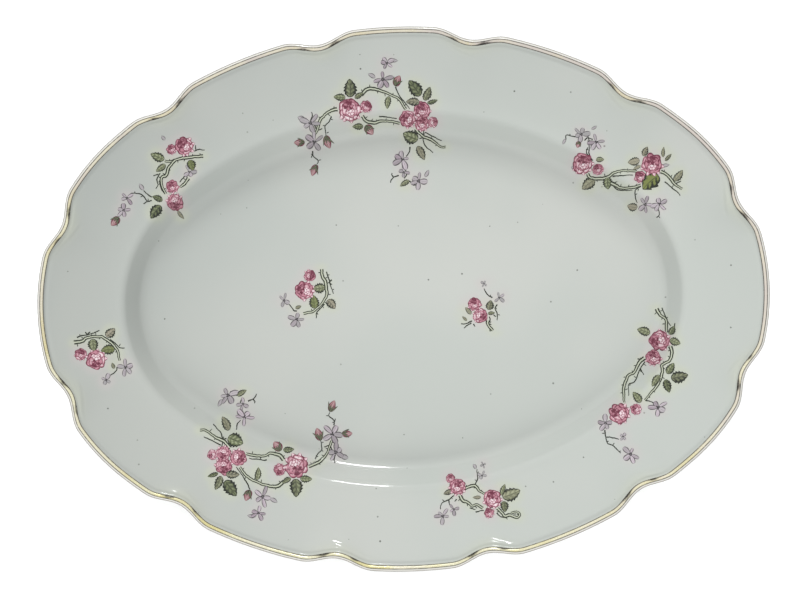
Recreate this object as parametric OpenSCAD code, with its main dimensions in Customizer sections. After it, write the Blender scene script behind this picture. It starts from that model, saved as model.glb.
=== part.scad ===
// Oval china serving platter with a scalloped, gilt-edged rim and rose sprays.
// Millimetres, +Z up. The origin is on the table under the middle of the dish,
// and X runs along its length. Every line of the dish is an inset of one
// four-centred oval, drawn as a pattern maker draws it with compasses.

/* [Dish] */
// Length over the crests of the lobes
dish_l = 394; // [320:1:480]
// Width over the crests of the lobes
dish_w = 293; // [242:1:356]
// Height from the table to the top of the lip
dish_h = 38; // [31:1:50]
// Radius of the two end arcs of the oval
end_r = 118; // [95:1:142]
// Thickness of the fired china in the well
wall = 4; // [3:0.1:5.5]

/* [Rim] */
// Width of the rim, from the lip to the top of the shoulder
rim_w = 42; // [35:0.5:52]
// How hollow the rim is from lip to shoulder, 1 is a straight cone
rim_hollow = 1.3; // [1:0.05:1.8]
// Thickness of the rim beside the lip
rim_wall = 3; // [2.2:0.1:4]
// Radius of the rolled lip
lip_r = 1.7; // [1.2:0.1:2.4]
// Depth of the notches between the lobes
notch_depth = 4.8; // [0:0.1:8]
// Length of the soft curve that runs from a notch up to its lobe
notch_run = 20; // [14:0.5:30]
// How tightly a notch is pinched, 1 is an even wave
notch_pinch = 1; // [0.6:0.05:2]
// How far in from the lip the notches still shape the rim
notch_reach = 34; // [20:1:41]
// Direction of the first notch from the length of the dish, in degrees
notch_1 = 24; // [20:0.5:29]
// Direction of the second notch
notch_2 = 58.5; // [48.5:0.5:70.5]
// Direction of the third notch
notch_3 = 80.2; // [72:0.2:86]

/* [Well] */
// Depth of the well below the inner edge of the rim
well_depth = 14.5; // [10:0.5:20]
// Slope of the shoulder, in degrees
shoulder_angle = 55; // [40:1:68]
// Radius over the top of the shoulder
shoulder_r = 6; // [4.5:0.5:9]
// Radius from the shoulder into the flat of the well
well_fillet = 9; // [5:0.5:12]

/* [Foot] */
// Height of the foot ring
foot_h = 3.5; // [2.5:0.1:4.5]
// Width of the foot ring where it joins the dish
foot_root = 6.5; // [5.4:0.1:9]
// Width of the unglazed land that the dish stands on
foot_land = 2.5; // [1.5:0.1:4]
// Bevel beside the land
foot_bevel = 0.5; // [0.2:0.1:0.9]
// Distance from the edge of the flat well to the foot ring
foot_inset = 2; // [0.5:0.5:8]

/* [Decoration] */
// Height of the fired gilding over the china
gilt_t = 0.12; // [0.05:0.01:0.3]
// Height of the stem and leaf enamels over the glaze
green_t = 0.16; // [0.1:0.01:0.3]
// Height of the rose and violet enamels over the glaze
petal_t = 0.24; // [0.15:0.01:0.4]
// Depth to which every decoration sinks into the glaze as it is fired
fired_in = 0.08; // [0.03:0.01:0.15]
// Width of a painted stem
stem_w = 1.1; // [0.7:0.1:1.8]

/* [Hidden] */
LAYERS = ["stems", "leaves", "roses", "violets"];

CHINA = [0.78, 0.81, 0.78];
BISCUIT = [0.86, 0.83, 0.76];
GILT = [0.80, 0.68, 0.36];
STEM_GREEN = [0.36, 0.42, 0.30];
LEAF_GREEN = [0.42, 0.50, 0.28];
ROSE_PINK = [0.82, 0.42, 0.54];
VIOLET = [0.70, 0.62, 0.72];

DEG = 180 / PI;

// ---- the four-centred oval ----
end_x = dish_l / 2 - end_r;
side_r = (end_x ^ 2 + (dish_w / 2) ^ 2 - end_r ^ 2) / (dish_w - 2 * end_r);
side_y = side_r - dish_w / 2;
corner = atan2(side_y, end_x);
end_arc = end_r * corner / DEG;
quarter = end_arc + side_r * (90 - corner) / DEG;

// Direction of the outline's outward normal, a distance s along the first quarter.
function quarter_angle(s) =
    s < end_arc ? s / end_r * DEG : corner + (s - end_arc) / side_r * DEG;

// The same all round the dish, mirrored from quarter to quarter.
function outline_angle(s) =
    let (q = floor(s / quarter), r = s - q * quarter)
    q % 2 == 0 ? 90 * q + quarter_angle(r) : 90 * (q + 1) - quarter_angle(quarter - r);

// Distance along the first quarter of a normal direction folded into it.
function quarter_distance(a) =
    a < corner ? a * end_r / DEG : end_arc + (a - corner) * side_r / DEG;

function folded(a) = atan2(abs(sin(a)), abs(cos(a)));

// Point of the oval set in by a distance, where its normal has direction a.
function oval_point(a, inset) =
    folded(a) < corner
        ? [sign(cos(a)) * end_x, 0] + (end_r - inset) * [cos(a), sin(a)]
        : [0, -sign(sin(a)) * side_y] + (side_r - inset) * [cos(a), sin(a)];

// Normal direction and inset of any plan point, folded into the first quarter.
function oval_place(x, y) =
    let (at_end = atan2(abs(y), abs(x) - end_x) < corner)
    let (v = at_end ? [abs(x) - end_x, abs(y)] : [abs(x), abs(y) + side_y])
    [atan2(v.y, v.x), (at_end ? end_r : side_r) - norm(v)];

// ---- lobes and notches ----
NOTCHES = [for (a = [notch_1, notch_2, notch_3]) quarter_distance(a)];
ALL_NOTCHES = concat(
    NOTCHES,
    [for (i = [2:-1:0]) 2 * quarter - NOTCHES[i]],
    [for (n = NOTCHES) 2 * quarter + n],
    [for (i = [2:-1:0]) 4 * quarter - NOTCHES[i]],
    [4 * quarter + NOTCHES[0]]
);
LOBES = 12;
LOBE_STEPS = 10;
CROWDING = 0.08;

// Share of a notch's depth at a normal direction: 1 in the notch, 0 on a lobe.
function notch_share(a) =
    let (s = quarter_distance(folded(a)))
    let (gap = min([for (n = NOTCHES) abs(s - n)]))
    gap < notch_run ? ((1 + cos(180 * gap / notch_run)) / 2) ^ notch_pinch : 0;

// How much of the notch is left at an inset from the lip.
LIP_ZONE = 3 * lip_r;
function notch_fade(inset) =
    inset < LIP_ZONE ? 1
    : inset < notch_reach ? (1 - (inset - LIP_ZONE) / (notch_reach - LIP_ZONE)) ^ 2
    : 0;

// Stations round the outline, closer together beside the notches.
STATIONS = [
    for (i = [0:LOBES - 1], k = [0:LOBE_STEPS - 1])
        let (u = k / LOBE_STEPS, from = ALL_NOTCHES[i], to = ALL_NOTCHES[i + 1])
        outline_angle(from + (to - from) * (u - CROWDING * sin(360 * u)))
];

function scalloped(a, inset) =
    oval_point(a, inset + notch_depth * notch_share(a) * notch_fade(inset));

// ---- section of the china, as [inset from the lip, height] ----
well_z = foot_h + wall;
rim_z = well_z + well_depth;
lip_z = dish_h - lip_r;
shoulder_flat =
    (well_depth - (shoulder_r + well_fillet) * (1 - cos(shoulder_angle)))
    / sin(shoulder_angle);
well_edge = rim_w + (shoulder_r + well_fillet) * sin(shoulder_angle)
    + shoulder_flat * cos(shoulder_angle);
under_r = max(shoulder_r - wall, 0.5);
rim_start = 2.1 * lip_r;

RIM_STEPS = 4;
SHOULDER_STEPS = 2;
FILLET_STEPS = 3;
UNDER_RIM_STEPS = 3;
LIP_ANGLES = [150, 105, 60, 15, -30, -75];
GILT_ANGLES = [150, 105, 60];

function lip_point(a, r) = [lip_r - r * cos(a), lip_z + r * sin(a)];
function rim_height(t) =
    rim_z + (lip_z - rim_z) * (1 - (t - rim_start) / (rim_w - rim_start)) ^ rim_hollow;
function rim_under(t) =
    rim_height(t) - wall + (wall - rim_wall) * (rim_w - t) / (rim_w - rim_start);

RIM = [
    for (i = [0:RIM_STEPS - 1])
        let (t = rim_start + (rim_w - rim_start) * i / RIM_STEPS)
        [t, rim_height(t)]
];
SHOULDER = [
    for (i = [0:SHOULDER_STEPS])
        let (b = shoulder_angle * i / SHOULDER_STEPS)
        [rim_w + shoulder_r * sin(b), rim_z - shoulder_r * (1 - cos(b))]
];
FILLET = [
    for (i = [0:FILLET_STEPS])
        let (b = shoulder_angle * (1 - i / FILLET_STEPS))
        [well_edge - well_fillet * sin(b), well_z + well_fillet * (1 - cos(b))]
];
UPPER = concat(RIM, SHOULDER, FILLET);
UNDER_FILLET = [
    for (i = [0:FILLET_STEPS - 1])
        let (b = shoulder_angle * i / (FILLET_STEPS - 1), r = well_fillet + wall)
        [well_edge - r * sin(b), well_z + well_fillet - r * cos(b)]
];
UNDER_SHOULDER = [
    for (b = [shoulder_angle, 0])
        [rim_w + under_r * sin(b), rim_z - wall - under_r * (1 - cos(b))]
];
UNDER_RIM = [
    for (i = [1:UNDER_RIM_STEPS])
        let (t = rim_w + (1.6 * rim_start - rim_w) * i / UNDER_RIM_STEPS)
        [t, rim_under(t)]
];
SECTION = concat(
    [for (i = [len(UPPER) - 1:-1:0]) UPPER[i]],
    [for (a = LIP_ANGLES) lip_point(a, lip_r)],
    [for (i = [UNDER_RIM_STEPS - 1:-1:0]) UNDER_RIM[i]],
    [for (i = [1:-1:0]) UNDER_SHOULDER[i]],
    [for (i = [FILLET_STEPS - 1:-1:0]) UNDER_FILLET[i]]
);

// Height of the upper surface over any plan point.
function unnotched(inset, depth, n) =
    n == 0 ? inset : unnotched_step(inset, depth, unnotched(inset, depth, n - 1));
function unnotched_step(inset, depth, guess) = inset - depth * notch_fade(guess);
function glaze_z(x, y) =
    let (p = oval_place(x, y))
    lookup(unnotched(p[1], notch_depth * notch_share(p[0]), 4), UPPER);

// ---- sweeping a section round the stations ----
N = len(STATIONS);
function ring_points(section) =
    [for (q = section, a = STATIONS) let (p = scalloped(a, q[0])) [p.x, p.y, q[1]]];
function band(i, j) = [
    for (k = [0:N - 1])
        let (m = (k + 1) % N)
        for (f = [[i * N + k, i * N + m, j * N + m], [i * N + k, j * N + m, j * N + k]])
            f
];
function fan(i, centre, turn) = [
    for (k = [0:N - 1])
        let (m = (k + 1) % N)
        turn ? [i * N + m, i * N + k, centre] : [i * N + k, i * N + m, centre]
];

// ---- enamel drawn on the surface: each shape is one closed shell of its own ----
// A shape is [points, faces], its points are plan points on the glaze with a height.
function lifted(plan, h) = [for (p = plan) [p.x, p.y, glaze_z(p.x, p.y) + h]];
function reversed(faces) = [for (f = faces) [for (i = [len(f) - 1:-1:0]) f[i]]];
function shifted(faces, n) = [for (f = faces) [for (i = f) i + n]];

// Both skins of a shape from one plan mesh and the loop of its edge.
function shell(plan, faces, edge, h) =
    let (n = len(plan), e = len(edge))
    [
        concat(lifted(plan, h), lifted(plan, -fired_in)),
        concat(
            reversed(faces),
            shifted(faces, n),
            [
                for (k = [0:e - 1])
                    let (a = edge[k], b = edge[(k + 1) % e])
                    for (f = [[a, b, b + n], [a, b + n, a + n]])
                        f
            ]
        ),
    ];

// Petalled disc: a middle point, a ring half way out and a petalled edge.
function blossom(x, y, d, petals, waist, turn, steps, h) =
    let (n = petals * steps)
    let (reach = [for (k = [0:n - 1]) k % steps == 0 ? waist : 1])
    let (edge = [
        for (k = [0:n - 1])
            let (a = turn + 360 * k / n)
            [x, y] + d / 2 * reach[k] * [cos(a), sin(a)]
    ])
    let (mid = [for (p = edge) ([x, y] + p) / 2])
    shell(
        concat([[x, y]], mid, edge),
        [
            for (k = [0:n - 1])
                let (m = (k + 1) % n)
                for (f = [
                    [0, 1 + k, 1 + m],
                    [1 + k, 1 + n + k, 1 + n + m],
                    [1 + k, 1 + n + m, 1 + m],
                ])
                    f
        ],
        [for (k = [0:n - 1]) 1 + n + k],
        h
    );

// Leaf from its stalk end to its tip, with a midrib.
function leaf(x, y, length, width, angle, h) =
    let (u = [cos(angle), sin(angle)], v = [-sin(angle), cos(angle)])
    let (plan = [
        for (s = [[0, 0], [0.3, -0.46], [0.3, 0], [0.3, 0.46],
                  [0.68, -0.38], [0.68, 0], [0.68, 0.38], [1, 0]])
            [x, y] + s[0] * length * u + s[1] * width * v
    ])
    shell(
        plan,
        [[0, 1, 2], [0, 2, 3], [1, 4, 5], [1, 5, 2], [2, 5, 6], [2, 6, 3], [4, 7, 5], [5, 7, 6]],
        [0, 1, 4, 7, 6, 3],
        h
    );

// Painted line through a list of points, thinner at its far end.
function stroke(path, width, h) =
    let (n = len(path))
    let (side = [
        for (i = [0:n - 1])
            let (d = path[min(i + 1, n - 1)] - path[max(i - 1, 0)])
            [-d.y, d.x] / norm(d) * width / 2 * (1 - 0.4 * i / (n - 1))
    ])
    shell(
        concat([for (i = [0:n - 1]) path[i] - side[i]], [for (i = [0:n - 1]) path[i] + side[i]]),
        [
            for (i = [0:n - 2])
                for (f = [[i, i + 1, n + i + 1], [i, n + i + 1, n + i]])
                    f
        ],
        concat([for (i = [0:n - 1]) i], [for (i = [n - 1:-1:0]) n + i]),
        h
    );

// All the shapes of a layer as one list of points and one of faces.
function offsets(shapes, i) = i == 0 ? 0 : offsets(shapes, i - 1) + len(shapes[i - 1][0]);
module enamel(shapes) {
    starts = [for (i = [0:len(shapes) - 1]) offsets(shapes, i)];
    polyhedron(
        points = [for (s = shapes) each s[0]],
        faces = [for (i = [0:len(shapes) - 1]) each shifted(shapes[i][1], starts[i])]
    );
}

// ---- the prints: motifs in millimetres about the middle of each spray ----
// rose [x, y, diameter]; leaf and bud [x, y of the stalk, length, width, direction];
// violet [x, y, diameter, turn]; stem [points].
FULL_SPRAY = [
    [ // stems
        [[-17, 7], [-22, 5.5], [-26.5, 1.5], [-28.5, -3], [-30, -6.5]],
        [[-20.5, 3.5], [-22, 0.5], [-24.5, -2], [-24, -6.5]],
        [[-4, 14], [-0.5, 17], [5, 16.5], [11, 14], [16, 11], [19, 6]],
        [[14.5, 18], [17, 13], [22, 6]],
        [[-4, 3], [-1.5, 0], [3, -1], [6, 0], [12.5, -0.5], [15.5, -1.5]],
        [[24.5, -4.5], [28.5, -8.5], [33, -11], [37.5, -14.5], [41, -15]],
        [[28.5, -9], [30, -13.5], [34, -18]],
        [[21.5, -14.5], [21, -17], [19, -19.5]],
        [[18, -25], [19, -29], [22.5, -35], [24.5, -35]],
        [[15, -29.5], [12, -30.5], [10, -33.5]],
        [[-31.5, -15], [-31.5, -17.5], [-29, -20], [-29.5, -22]],
    ],
    [ // leaves
        [-10, 13, 10, 7, 90], [-12.5, 13, 6.5, 4, 175], [-7.5, 12.5, 5.5, 3, 30],
        [28, 12.5, 10.5, 7, 125], [30, 10, 8, 4.5, 65], [27.5, 9, 7.5, 4.5, 175],
        [31.5, 8.5, 6, 2.5, 15], [11, 13, 7, 3.5, -100], [-3.5, -2.5, 6, 3.5, 180],
        [26, -10.5, 9, 7.5, 155], [25.5, -14, 8.5, 4.5, -65], [20.5, -32.5, 6, 3, -150],
    ],
    [ // roses
        [-10.5, 6.5, 12.5], [-1.5, 8, 6], [20, 0.5, 9], [28.5, 5, 9.5], [28.5, -2.5, 6.5],
        [34, -1.5, 5],
    ],
    [ // violets
        [-32, 0, 10.5, 70], [-30.5, -10, 11, 20], [8, 22, 10.5, 100], [10.5, 30.5, 8, 40],
        [17, -21, 10, 10], [16.5, -28, 6, 80], [25.5, -33, 10.5, 60],
    ],
    [ // buds
        [-24, -6.5, 7.5, 4.5, -75], [-36, -10, 5.5, 4, 180], [-29.5, -22, 7, 4, -115],
        [14.5, 18, 6.5, 4.5, 65], [-2.5, -2.5, 6, 5, -50],
    ],
];
PAIR_SPRAY = [
    [
        [[-18.5, 0], [-17, -2], [-12, -3], [-8, -2.5], [-3.5, 0], [2.5, 0.5], [7, 0]],
        [[-6.5, -5.5], [-2, -8], [2.5, -9], [6.5, -8.5], [10, -7.5]],
        [[-15.5, 7], [-17.5, 10.5], [-17.5, 14.5], [-18.5, 18]],
        [[-24.5, 20.5], [-27, 20.5], [-29.5, 21], [-30, 18]],
        [[20.5, -1.5], [23.5, -3], [26.5, -5.5], [28.5, -8], [32, -10.5]],
        [[22.5, -6], [26, -9], [31, -14]],
        [[10, -8.5], [7, -10], [7, -14], [8, -17]],
        [[16, -20.5], [18.5, -21.5], [19, -24], [17.5, -25.5]],
    ],
    [
        [-14.5, -3.5, 8.5, 6, -145], [-8, -2.5, 6.5, 5, -85], [-14, 7, 4.5, 3, 0],
        [11.5, 8, 5.5, 3.5, 65], [9.5, 6, 6.5, 4.5, -170], [10, 3, 4.5, 2, -155],
        [19, -3.5, 10.5, 8, -140], [27.5, -6, 7.5, 4, 50], [22, 7, 5.5, 2, 85],
        [23, 5, 5, 2, 45], [8, -19.5, 5.5, 4.5, 165],
    ],
    [[-21, 5.5, 10.5], [-13, 2, 6], [16, 3.5, 11.5], [9.5, -3, 6]],
    [[-22, 21, 9, 60], [-13.5, 16.5, 9.5, 20], [12, -18, 8.5, 70], [20, -18, 9, 30]],
    [[-22.5, 17.5, 4, 3, -110]],
];
TRAILING_SPRAY = [
    [
        [[9.5, 41], [11, 37.5], [14, 34.5], [14, 28.5]],
        [[12.5, 41.5], [13.5, 38], [15.5, 35.5]],
        [[2, 14.5], [-1, 12], [-4, 6.5], [-7.5, 4.5], [-10, -1.5], [-10.5, -9.5]],
        [[-1, 9], [-4.5, 2], [-7, 0], [-8, -6]],
        [[15.5, 19.5], [14.5, 13], [11, 10.5], [10.5, 7], [8, 0.5], [4.5, -3.5], [0.5, -8.5]],
        [[0.5, -9], [3.5, -9], [5.5, -10.5]],
        [[-21.5, -23.5], [-21.5, -27], [-20.5, -31], [-17, -33], [-12.5, -36]],
        [[-20.5, -27.5], [-17, -28], [-14, -28.5]],
    ],
    [
        [5, 27.5, 7, 5, 160], [15.5, 24, 6, 4.5, -25], [15.5, 26.5, 5.5, 3.5, 60],
        [13, 5.5, 7, 4.5, 55], [15, 3, 9.5, 6.5, 10], [12, 2.5, 7.5, 4.5, -75],
        [9, 5, 7.5, 4, -125], [-1.5, -9.5, 7, 4.5, 125],
    ],
    [[10, 23.5, 10.5], [6.5, 14.5, 8], [-13.5, -15, 11], [-4.5, -13, 5.5]],
    [[7.5, -12.5, 10.5, 25], [-21.5, -20, 8, 80], [-12, -27.5, 5, 40], [-8.5, -37, 9.5, 60]],
    [],
];
SMALL_PAIR_SPRAY = [
    [
        [[-6, 3], [-2, 4.5], [0, 4], [1.5, 2], [4.5, 0]],
        [[-8.5, 0], [-7.5, -3.5], [-4.5, -5], [-2.5, -6.5], [0.5, -6], [3.5, -8]],
        [[-12, 0], [-15, -3], [-18.5, -4.5], [-19.5, -8]],
        [[-0.5, 5], [1, 7.5], [1, 12]],
        [[10.5, -8], [13.5, -11], [15, -12.5], [18, -12], [21.5, -13.5], [23, -12], [21, -10.5]],
    ],
    [
        [-13, 2, 5, 3, -160], [13.5, -1.5, 6.5, 3, 70], [14, -2.5, 10.5, 7, 20],
        [14.5, -4.5, 6, 4.5, -85], [2.5, -2, 4.5, 2, 180],
    ],
    [[-10, 4, 8.5], [8.5, -3, 9.5], [6.5, -10.5, 5], [-13.5, 9, 4.5]],
    [[-18.5, -11.5, 9, 50], [-12.5, -7.5, 6, 20], [3.5, 9.5, 5.5, 70], [4.5, 15, 3.5, 10]],
    [],
];
ARCHED_SPRAY = [
    [
        [[26, 11], [20.5, 10], [15, 10.5], [11, 9.5], [7, 8.5], [5, 9]],
        [[9.5, 8.5], [7, 4.5], [5.5, 1.5], [3, 0], [3, -4], [5, -8]],
        [[21, 13.5], [24, 14.5], [27, 14]],
        [[-2.5, -12.5], [-5, -12.5], [-7, -10], [-9, -8.5], [-13, -8]],
        [[-2.5, -10.5], [-5.5, -8.5], [-7, -6.5]],
        [[17.5, -0.5], [14.5, -4], [12, -6]],
        [[2, 2.5], [0.5, -1], [1, -4], [-0.5, -6]],
    ],
    [
        [5, 9.5, 8, 5, 155], [5.5, 7, 6.5, 3.5, -145], [18.5, 9, 6, 5, -75],
        [3, -12.5, 6, 3.5, 155], [2, -15, 9, 6, -130], [10.5, -18, 5.5, 2, -55],
    ],
    [[9, 15, 5], [16, 16.5, 9.5], [8.5, -5, 6.5], [9.5, -13.5, 8.5]],
    [[-16, -10.5, 7, 30], [-18, -17, 7.5, 70], [18, 2.5, 7, 20]],
    [[-20.5, -20.5, 6.5, 4.5, -135]],
];
SPRIG = [
    [
        [[-16.5, 9.5], [-12, 9.5], [-9.5, 11], [-2.5, 11.5], [2.5, 9], [7, 3], [7, 0.5], [7.5, -2]],
        [[-10.5, 14.5], [-7.5, 13], [-2.5, 15]],
        [[6, -7], [5, -8.5], [3, -10]],
    ],
    [[-6.5, 10.5, 7, 5.5, -85], [5, 4.5, 7.5, 5.5, -175], [0.5, 11.5, 6.5, 5, 40], [4.5, -6, 3.5, 2, 110]],
    [[-13, 2.5, 5.5], [-5, -1, 8.5]],
    [[10.5, -5.5, 8.5, 30], [0, -12, 7, 60]],
    [],
];
POSY = [
    [
        [[2, -8], [2, -10], [3, -12], [4.5, -14]],
        [[-6.5, -7.5], [-9.5, -9.5], [-13, -9.5]],
        [[-6, -9.5], [-5, -11.5]],
        [[7.5, 0.5], [6, -1.5], [7, -4], [7, -8.5]],
        [[5, 4], [2.5, 5.5], [1, 7.5], [0.5, 9.5]],
    ],
    [[2.5, -2, 5.5, 4.5, 75], [2, -4.5, 4, 2, 5], [-7, -4.5, 5, 2.5, 130], [-9.5, -8, 3.5, 1.5, 135]],
    [[-5, 1, 7], [-2, -5.5, 7.5]],
    [[9, 4.5, 6.5, 30], [0.5, 12, 4, 60]],
    [],
];

// Where each spray lies on the rim: how far round the outline from +X, in quarters
// of it, and the inset from the lip.
function on_rim(quarters, inset) = oval_point(outline_angle(quarters * quarter), inset);
SPRAYS = [
    ["top", FULL_SPRAY, on_rim(1.07, 49), 0],
    ["top_right", PAIR_SPRAY, on_rim(0.424, 41.5), 0],
    ["right", TRAILING_SPRAY, on_rim(3.65, 47.5), 0],
    ["bottom", SMALL_PAIR_SPRAY, on_rim(3.156, 37), 0],
    ["bottom_left", FULL_SPRAY, on_rim(2.657, 50.5), 180],
    ["left", SPRIG, on_rim(2.133, 31), 0],
    ["top_left", ARCHED_SPRAY, on_rim(1.599, 30.5), 0],
    ["well_left", SPRIG, [-53, 1.5], -90],
    ["well_right", POSY, [43.5, -5], 0],
];

function placed(spray, p) =
    let (c = cos(spray[3]), s = sin(spray[3]))
    spray[2] + [c * p.x - s * p.y, s * p.x + c * p.y];

ROSE_PETALS = 5;
VIOLET_PETALS = 5;

function stem_shapes(spray) = [
    for (path = spray[1][0]) stroke([for (p = path) placed(spray, p)], stem_w, green_t)
];
function leaf_shapes(spray, list, h) = [
    for (m = list) let (p = placed(spray, m)) leaf(p.x, p.y, m[2], m[3], m[4] + spray[3], h)
];
function rose_shapes(spray) = [
    for (m = spray[1][2])
        let (p = placed(spray, m))
        blossom(p.x, p.y, m[2], ROSE_PETALS, 0.9, 18 * m[2], 2, petal_t)
];
function violet_shapes(spray) = [
    for (m = spray[1][3])
        let (p = placed(spray, m))
        blossom(p.x, p.y, m[2], VIOLET_PETALS, 0.42, m[3] + spray[3], 3, petal_t)
];

// ---- the pieces ----
// The dish in one piece of fired china, from the rolled lip to the flat well.
module china_body() {
    rings = len(SECTION);
    top = rings * N;
    color(CHINA)
        polyhedron(
            points = concat(ring_points(SECTION), [[0, 0, well_z], [0, 0, foot_h]]),
            faces = concat(
                [for (i = [0:rings - 2]) each band(i, i + 1)],
                fan(0, top, true),
                fan(rings - 1, top + 1, false)
            )
        );
}

// A closed band that follows the oval, from a loop of [inset, height] points.
module oval_band(loop) {
    n = len(loop);
    polyhedron(
        points = ring_points(loop),
        faces = [for (i = [0:n - 1]) each band(i, (i + 1) % n)]
    );
}

// The ring of clay under the well that the dish stands on.
module foot_ring() {
    outer = well_edge + foot_inset;
    draft = (foot_root - foot_land) / 2;
    color(BISCUIT)
        oval_band([
            [outer, foot_h],
            [outer + draft - foot_bevel, foot_bevel],
            [outer + draft, 0],
            [outer + draft + foot_land, 0],
            [outer + draft + foot_land + foot_bevel, foot_bevel],
            [outer + foot_root, foot_h],
        ]);
}

// The gold line burnished over the top and the inside of the lip.
module gilt_rim_line() {
    color(GILT)
        oval_band(concat(
            [for (a = GILT_ANGLES) lip_point(a, lip_r + gilt_t)],
            [for (i = [len(GILT_ANGLES) - 1:-1:0]) lip_point(GILT_ANGLES[i], lip_r - fired_in)]
        ));
}

module spray_layer(spray, layer) {
    if (layer == "stems") color(STEM_GREEN) enamel(stem_shapes(spray));
    if (layer == "leaves") color(LEAF_GREEN) enamel(leaf_shapes(spray, spray[1][1], green_t));
    if (layer == "roses")
        color(ROSE_PINK)
            enamel(concat(rose_shapes(spray), leaf_shapes(spray, spray[1][4], petal_t)));
    if (layer == "violets") color(VIOLET) enamel(violet_shapes(spray));
}

china_body();
foot_ring();
gilt_rim_line();
for (spray = SPRAYS, layer = LAYERS)
    spray_layer(spray, layer);
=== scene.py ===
"""Looks of an oval china serving platter with a scalloped gilt rim and rose sprays.

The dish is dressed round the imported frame: smooth china, a fettled foot, a rubbed gold
line and nine printed and fired sprays, each in four enamels. Lengths are in millimetres
until a mesh is made, where they become metres.
"""
import logging
import math
from dataclasses import dataclass, field
from enum import Enum
from typing import Sequence

import bmesh
import bpy
import numpy as np
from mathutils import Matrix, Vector


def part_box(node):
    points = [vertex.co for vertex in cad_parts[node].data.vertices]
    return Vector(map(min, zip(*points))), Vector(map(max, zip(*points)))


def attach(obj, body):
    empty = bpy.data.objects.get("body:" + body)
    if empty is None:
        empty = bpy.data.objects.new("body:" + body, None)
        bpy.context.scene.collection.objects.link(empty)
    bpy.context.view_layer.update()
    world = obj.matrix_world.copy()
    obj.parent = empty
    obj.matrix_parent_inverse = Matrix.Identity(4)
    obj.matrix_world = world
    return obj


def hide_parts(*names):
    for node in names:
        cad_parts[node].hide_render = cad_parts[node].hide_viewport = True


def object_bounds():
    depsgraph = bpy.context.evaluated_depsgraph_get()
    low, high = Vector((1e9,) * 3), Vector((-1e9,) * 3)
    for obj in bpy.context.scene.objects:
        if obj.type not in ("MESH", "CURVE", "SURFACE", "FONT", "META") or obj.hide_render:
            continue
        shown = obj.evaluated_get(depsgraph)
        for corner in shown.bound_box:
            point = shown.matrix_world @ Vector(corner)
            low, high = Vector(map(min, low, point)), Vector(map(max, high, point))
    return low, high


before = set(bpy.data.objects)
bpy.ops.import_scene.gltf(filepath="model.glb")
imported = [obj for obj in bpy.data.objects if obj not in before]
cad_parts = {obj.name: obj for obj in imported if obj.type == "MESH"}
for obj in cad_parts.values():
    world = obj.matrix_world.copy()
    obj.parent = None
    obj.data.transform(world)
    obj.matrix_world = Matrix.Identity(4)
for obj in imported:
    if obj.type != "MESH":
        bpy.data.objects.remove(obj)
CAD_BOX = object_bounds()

MM = 0.001
# How much light a colour keeps once the studio's lamps fall on it.
STUDIO_SHARE = 0.73
TAU = 2.0 * math.pi
LOG = logging.getLogger("platter")

Colour = tuple[float, float, float]
Point = tuple[float, float]
Path = tuple[Point, ...]
Row = tuple[float, ...]


def paint(red: float, green: float, blue: float) -> Colour:
    """Turns a colour mixed on a 0 to 255 display scale into linear light under the studio.

    Args:
        red: Red share.
        green: Green share.
        blue: Blue share.

    Returns:
        The linear colour.
    """
    shares = np.array([red, green, blue]) / 255.0
    linear = np.where(shares <= 0.04045, shares / 12.92, ((shares + 0.055) / 1.055) ** 2.4)
    return tuple(float(v) * STUDIO_SHARE for v in linear)


def node_size(node: str) -> Vector:
    """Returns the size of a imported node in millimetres."""
    low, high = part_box(node)
    return (high - low) / MM


# ---------------------------------------------------------------- the form of the dish


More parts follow.
